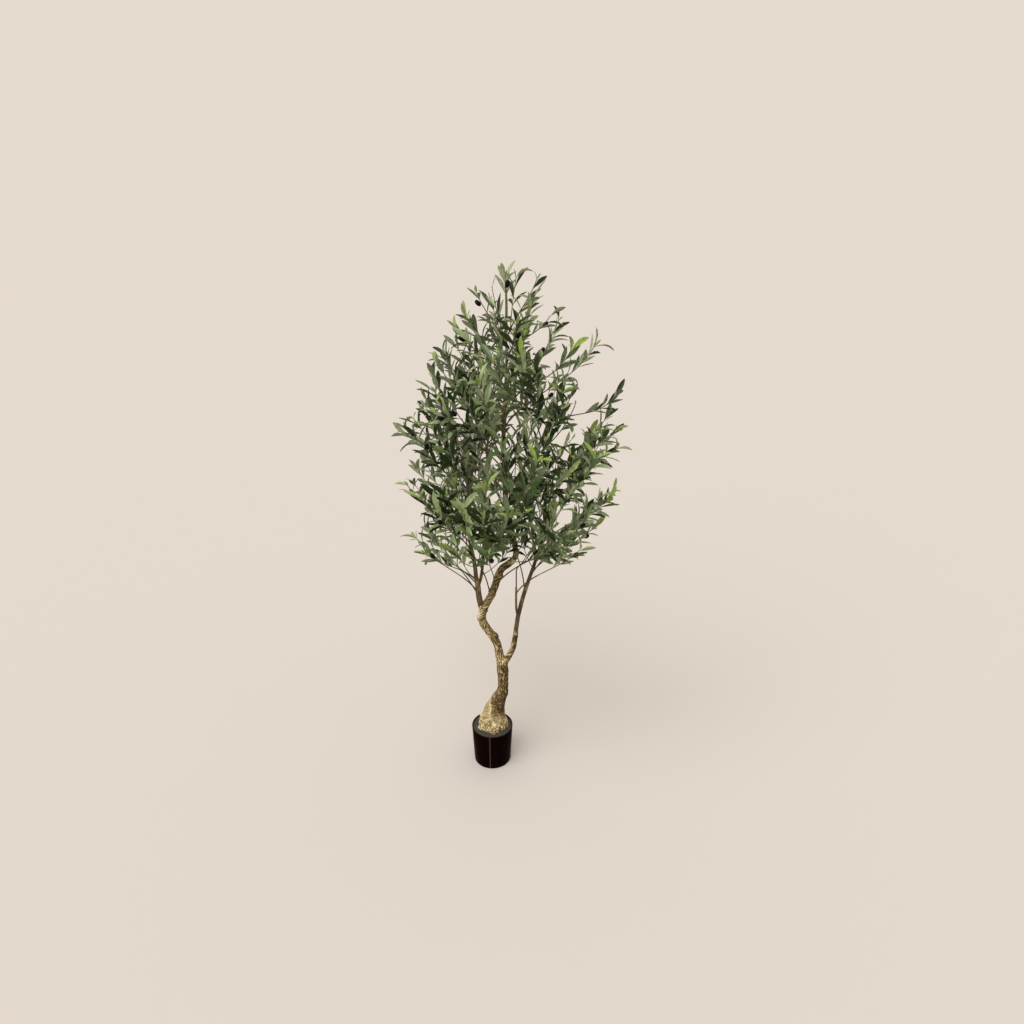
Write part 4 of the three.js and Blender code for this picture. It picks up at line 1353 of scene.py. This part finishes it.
def leaf_blades(values):
    """The tree that sets a blade on each point, turned, sized, curled and twisted as the point says."""
    tree, result, given = growth_tree("leaf_blades", values)
    start = given["Geometry"]
    blade = start.node("GeometryNodeObjectInfo", None, {"Object": given["Blade"]}, "Geometry")
    leaves = start.node("GeometryNodeInstanceOnPoints", None, {"Points": start, "Instance": blade})
    leaves = start.node("GeometryNodeRealizeInstances", None, {"Geometry": leaves})

    along, across, curl, twist = (start.named(name) for name in ("along", "across", "curl", "twist"))
    bend = curl * along
    length = given["Length"] / curl
    half = start.named("half") * given["Width"] * 0.5
    turn = twist * along
    edge = start.math("ABSOLUTE", across)
    lift = half * (edge * given["Fold"] + across * start.math("SINE", turn))
    lift = lift - start.named("below") * given["Thickness"]
    sine, cosine = start.math("SINE", bend), start.math("COSINE", bend)
    place = start.joined(
        length * sine + lift * sine,
        half * across * start.math("COSINE", turn),
        lift * cosine - length * (1 - cosine),
    )
    sockets = {"Vector": place.scaled(start.named("size")), "Rotation": start.named("turn", "QUATERNION")}
    turned_place = start.node("FunctionNodeRotateVector", None, sockets)
    leaves = leaves.moved(Position=turned_place.vector("ADD", start.named("root", "FLOAT_VECTOR")))
    leaves = start.node("GeometryNodeSetMaterial", None, {"Geometry": leaves, "Material": given["Upper"]})
    sockets = {"Geometry": leaves, "Selection": start.named("under", "BOOLEAN"), "Material": given["Under"]}
    start.node("GeometryNodeSetMaterial", None, sockets).to(result)
    return tree


leaf_rows = {tint: [] for tint in LEAF_TINTS}
leaf_margins = np.where(limb_names == "trunk", TRUNK_CLEARANCE, LIMB_CLEARANCE)


def leaf(tint, root, run, out, angle, size, keys):
    """Adds a leaf, or a shorter one, if its middle and tip stay inside the crown and clear of the limbs."""
    curl = LEAF_CURL + LEAF_CURL_RANGE * chance(*keys, 31) ** LEAF_CURL_POWER
    curl += CURLED_MORE if chance(*keys, 32) < CURLED_SHARE else 0
    along = run * math.cos(angle) + out * math.sin(angle)
    face = run * math.sin(angle) - out * math.cos(angle)
    outward = np.array([root[0] - TOP[0], root[1] - TOP[1], 0])
    face = face + FACE_UP * UP + FACE_OUT * outward / max(np.linalg.norm(outward), 0.1)
    across = unit(np.cross(face, along))
    face = np.cross(along, across)
    roll = math.radians(LEAF_ROLL * spread(*keys, 33))
    sine, cosine = math.sin(roll), math.cos(roll)
    face, across = face * cosine + across * sine, across * cosine - face * sine
    for share in LEAF_CUTS[:1] if root[2] > FULL_LEAVES_ABOVE else LEAF_CUTS:
        bow = LEAF_LENGTH * size * share / curl
        reach = lambda t: root + bow * (along * math.sin(curl * t) - face * (1 - math.cos(curl * t)))
        tested = np.array([reach(t) for t in LEAF_TESTED])
        is_free = (gaps(tested, limb_points) > limb_radii + leaf_margins).all()
        if is_free and not in_opening(tested).any() and inside_crown(tested, LEAF_OVERHANG).all():
            turn = Matrix(np.column_stack([along, across, face]).tolist()).to_quaternion()
            twist = LEAF_TWIST * spread(*keys, 34)
            leaf_rows[tint].append((root, tuple(turn), size * share, curl, twist))
            return


def leaves_along(index, branch, line, pairs):
    """The leaves and buds round a sprig's tip, then pairs along it, each pair square to the one before."""
    frames = frames_along(line)
    runs = frames[0]
    steps = len(line) - 1
    first, last, spacing = pairs
    count = max(1, round((last - first) * length_of(line) / spacing))
    first_roll = 2 * math.pi * chance(index, branch, 41)
    mood = chance(index, branch, 63)
    tint = "deep" if mood < DEEP_CHANCE else "mid" if mood < MID_CHANCE else "olive"
    fresh = chance(index, branch, 44)
    tip_tint = "young" if fresh < YOUNG_CHANCE else "light" if fresh < LIGHT_CHANCE else tint
    bud_tint = "young" if fresh < LIGHT_CHANCE else "light"
    for k in range(TIP_LEAVES + TIP_BUDS):
        is_bud = k >= TIP_LEAVES
        roll = first_roll + math.pi * k + 0.5 * math.pi * is_bud
        roll += TIP_ROLL_STRAY * spread(index, branch, k, 42)
        stray = LEAF_ANGLE_STRAY * spread(index, branch, k, 43)
        angle = math.radians(TIP_LEAF_ANGLE - BUD_CLOSING * is_bud + stray)
        size = (BUD_SIZE if is_bud else TIP_SIZE) * (1 + TIP_SIZE_STRAY * spread(index, branch, k, 45))
        root = line[-1] - runs[-1] * TIP_STEP * k
        own_tint = bud_tint if is_bud else tip_tint
        leaf(own_tint, root, runs[-1], square_to(frames, -1, roll), angle, size, (index, branch, 50 + k))
    for k in range(count):
        share = first + (last - first) * (k + PAIR_STAGGER * chance(index, branch, k, 46)) / count
        step = min(steps, round(share * steps))
        for half in (0, 1):
            keys = (index, branch, 60 + 2 * k + half)
            roll = first_roll + math.pi * (0.5 * k + half) + math.radians(PAIR_ROLL_STRAY * spread(*keys, 47))
            angle = math.radians(LEAF_ANGLE - LEAF_ANGLE_FALL * share + LEAF_ANGLE_STRAY * spread(*keys, 48))
            size = LEAF_SIZE - LEAF_SIZE_FALL * share + LEAF_SIZE_STRAY * spread(*keys, 49)
            own = chance(*keys, 51)
            own_tint = tint if own < OWN_CHANCE else OLDER_TINTS[int(own * 100) % 3]
            leaf(own_tint, line[step], runs[step], square_to(frames, step, roll), angle, size, keys)


for index, spray in enumerate(stems):
    for branch, line in enumerate([spray["line"], *spray["twigs"]]):
        leaves_along(index, branch, line, TWIG_PAIRS if branch else STEM_PAIRS)
for number, line in enumerate(shoots):
    leaves_along(FIRST_SHOOT + number, 0, line, TWIG_PAIRS)

blade_sizes = {"Length": LEAF_LENGTH, "Width": LEAF_WIDTH, "Fold": LEAF_FOLD, "Thickness": LEAF_THICKNESS}
blade = placed("blade", blade_mesh())
for tint, (upper_colour, under_colour, shine) in LEAF_TINTS.items():
    upper = mottled(f"leaf_{tint}", upper_colour, 130, 0.34, 0.0012, Specular_IOR_Level=shine)
    under = mottled(f"leaf_{tint}_under", under_colour, 130, 0.7, 0.0012, Specular_IOR_Level=0.2)
    roots, turns, sizes, curls, twists = (np.array(column, np.float32) for column in zip(*leaf_rows[tint]))
    points = bpy.data.meshes.new(f"leaf_points_{tint}")
    points.from_pydata(roots, [], [])
    for name, kind, values in (
        ("root", "FLOAT_VECTOR", roots),
        ("turn", "QUATERNION", turns),
        ("size", "FLOAT", sizes),
        ("curl", "FLOAT", curls),
        ("twist", "FLOAT", twists),
    ):
        key = "vector" if kind == "FLOAT_VECTOR" else "value"
        points.attributes.new(name, kind, "POINT").data.foreach_set(key, values.ravel())
    values = {**blade_sizes, "Blade": blade, "Upper": upper, "Under": under}
    leaves = grown(f"leaves_{tint}", points, leaf_blades, values)
    dress(leaves, "foliage", *spray_names)
bpy.data.objects.remove(blade)


# Olives: solid plastic fruit, almost black and glossy, with a small point at one end. Each is wired to a stem
# or a twig near its tip.
OLIVE_RADIUS = 0.0072
OLIVE_LENGTH = 0.023
OLIVE_SEGMENTS = 14
OLIVE_RINGS = 9
OLIVE_SHARE = 0.6
SECOND_OLIVE_SHARE = 0.55
OLIVE_BELOW_TIP = 0.030
OLIVE_ENDS = (-0.52, 0.485)
OLIVE_FULLNESS = 0.9
OLIVE_LEAN = 0.35
OLIVE_GAP = 0.002
OLIVE_RISE = 0.004
OLIVE_INSET = 0.02

olive_profile = [(0, OLIVE_ENDS[0])]
for k in range(1, OLIVE_RINGS):
    angle = math.pi * k / OLIVE_RINGS
    olive_profile.append((math.sin(angle) ** OLIVE_FULLNESS, -0.5 * math.cos(angle)))
olive_profile.append((0, OLIVE_ENDS[1]))
olive_black = mottled("olive_black", paint(14, 11, 12), 240, 0.22, 0.0002, Specular_IOR_Level=0.12)
shape, faces = turned(olive_profile, OLIVE_SEGMENTS)
shape = shape * (OLIVE_RADIUS, OLIVE_RADIUS, OLIVE_LENGTH)
vertices, olive_faces = [], []
for index, spray in enumerate(stems):
    if chance(index, 13) >= OLIVE_SHARE:
        continue
    hung = [spray["line"]]
    if len(spray["twigs"]) > 1 and chance(index, 14) < SECOND_OLIVE_SHARE:
        hung.append(spray["twigs"][-1])
    for k, line in enumerate(hung):
        frames = frames_along(line)
        step = round((1 - OLIVE_BELOW_TIP / length_of(line)) * (len(line) - 1))
        run, out = frames[0][step], square_to(frames, step, 2 * math.pi * chance(index, k, 15))
        axis = unit(run + OLIVE_LEAN * out)
        aside = unit(np.cross(axis, out))
        frame_axes = np.array([aside, np.cross(axis, aside), axis])
        centre = line[step] + out * (OLIVE_RADIUS + OLIVE_GAP) + run * OLIVE_RISE
        if not inside_crown(centre[None], -OLIVE_INSET)[0]:
            continue
        olive_faces += [tuple(v + len(vertices) * len(shape) for v in face) for face in faces]
        vertices.append(shape @ frame_axes + centre)
olives = standing("olives", np.vstack(vertices), olive_faces, olive_black)
dress(olives, "foliage", *spray_names)


# Floor, soft light from the upper left, and the camera
FLOOR_HALF = 30
CAMERA_TILT = 18.8217
floor_look = {"Base_Color": paint(207, 204, 201), "Roughness": 0.9, "Specular_IOR_Level": 0.0}
floor_paint = finish("floor_paint", **floor_look)[0]
corners = [(FLOOR_HALF * x, FLOOR_HALF * y, 0) for x, y in ((-1, -1), (1, -1), (1, 1), (-1, 1))]
floor = standing("floor", corners, [(0, 1, 2, 3)], floor_paint)

world = bpy.data.worlds.new("studio")
bpy.context.scene.world = world
world.use_nodes = True
backdrop = world.node_tree.nodes["Background"].inputs
backdrop["Color"].default_value = paint(229, 218, 206)
backdrop["Strength"].default_value = 1.0

sun = bpy.data.lights.new("window_light", "SUN")
sun.energy = 2.0
sun.angle = math.radians(60)
sun.color = (1.0, 0.97, 0.93)
window = placed("window_light", sun)
window.rotation_euler = (math.radians(42), 0, math.radians(-35))

lens = bpy.data.cameras.new("camera")
lens.sensor_width = 36
lens.lens = 20.734
camera = placed("camera", lens)
camera.location = EYE
camera.rotation_euler = (math.radians(90 - CAMERA_TILT), 0, 0)
bpy.context.scene.camera = camera
bpy.context.scene.view_settings.view_transform = "Standard"
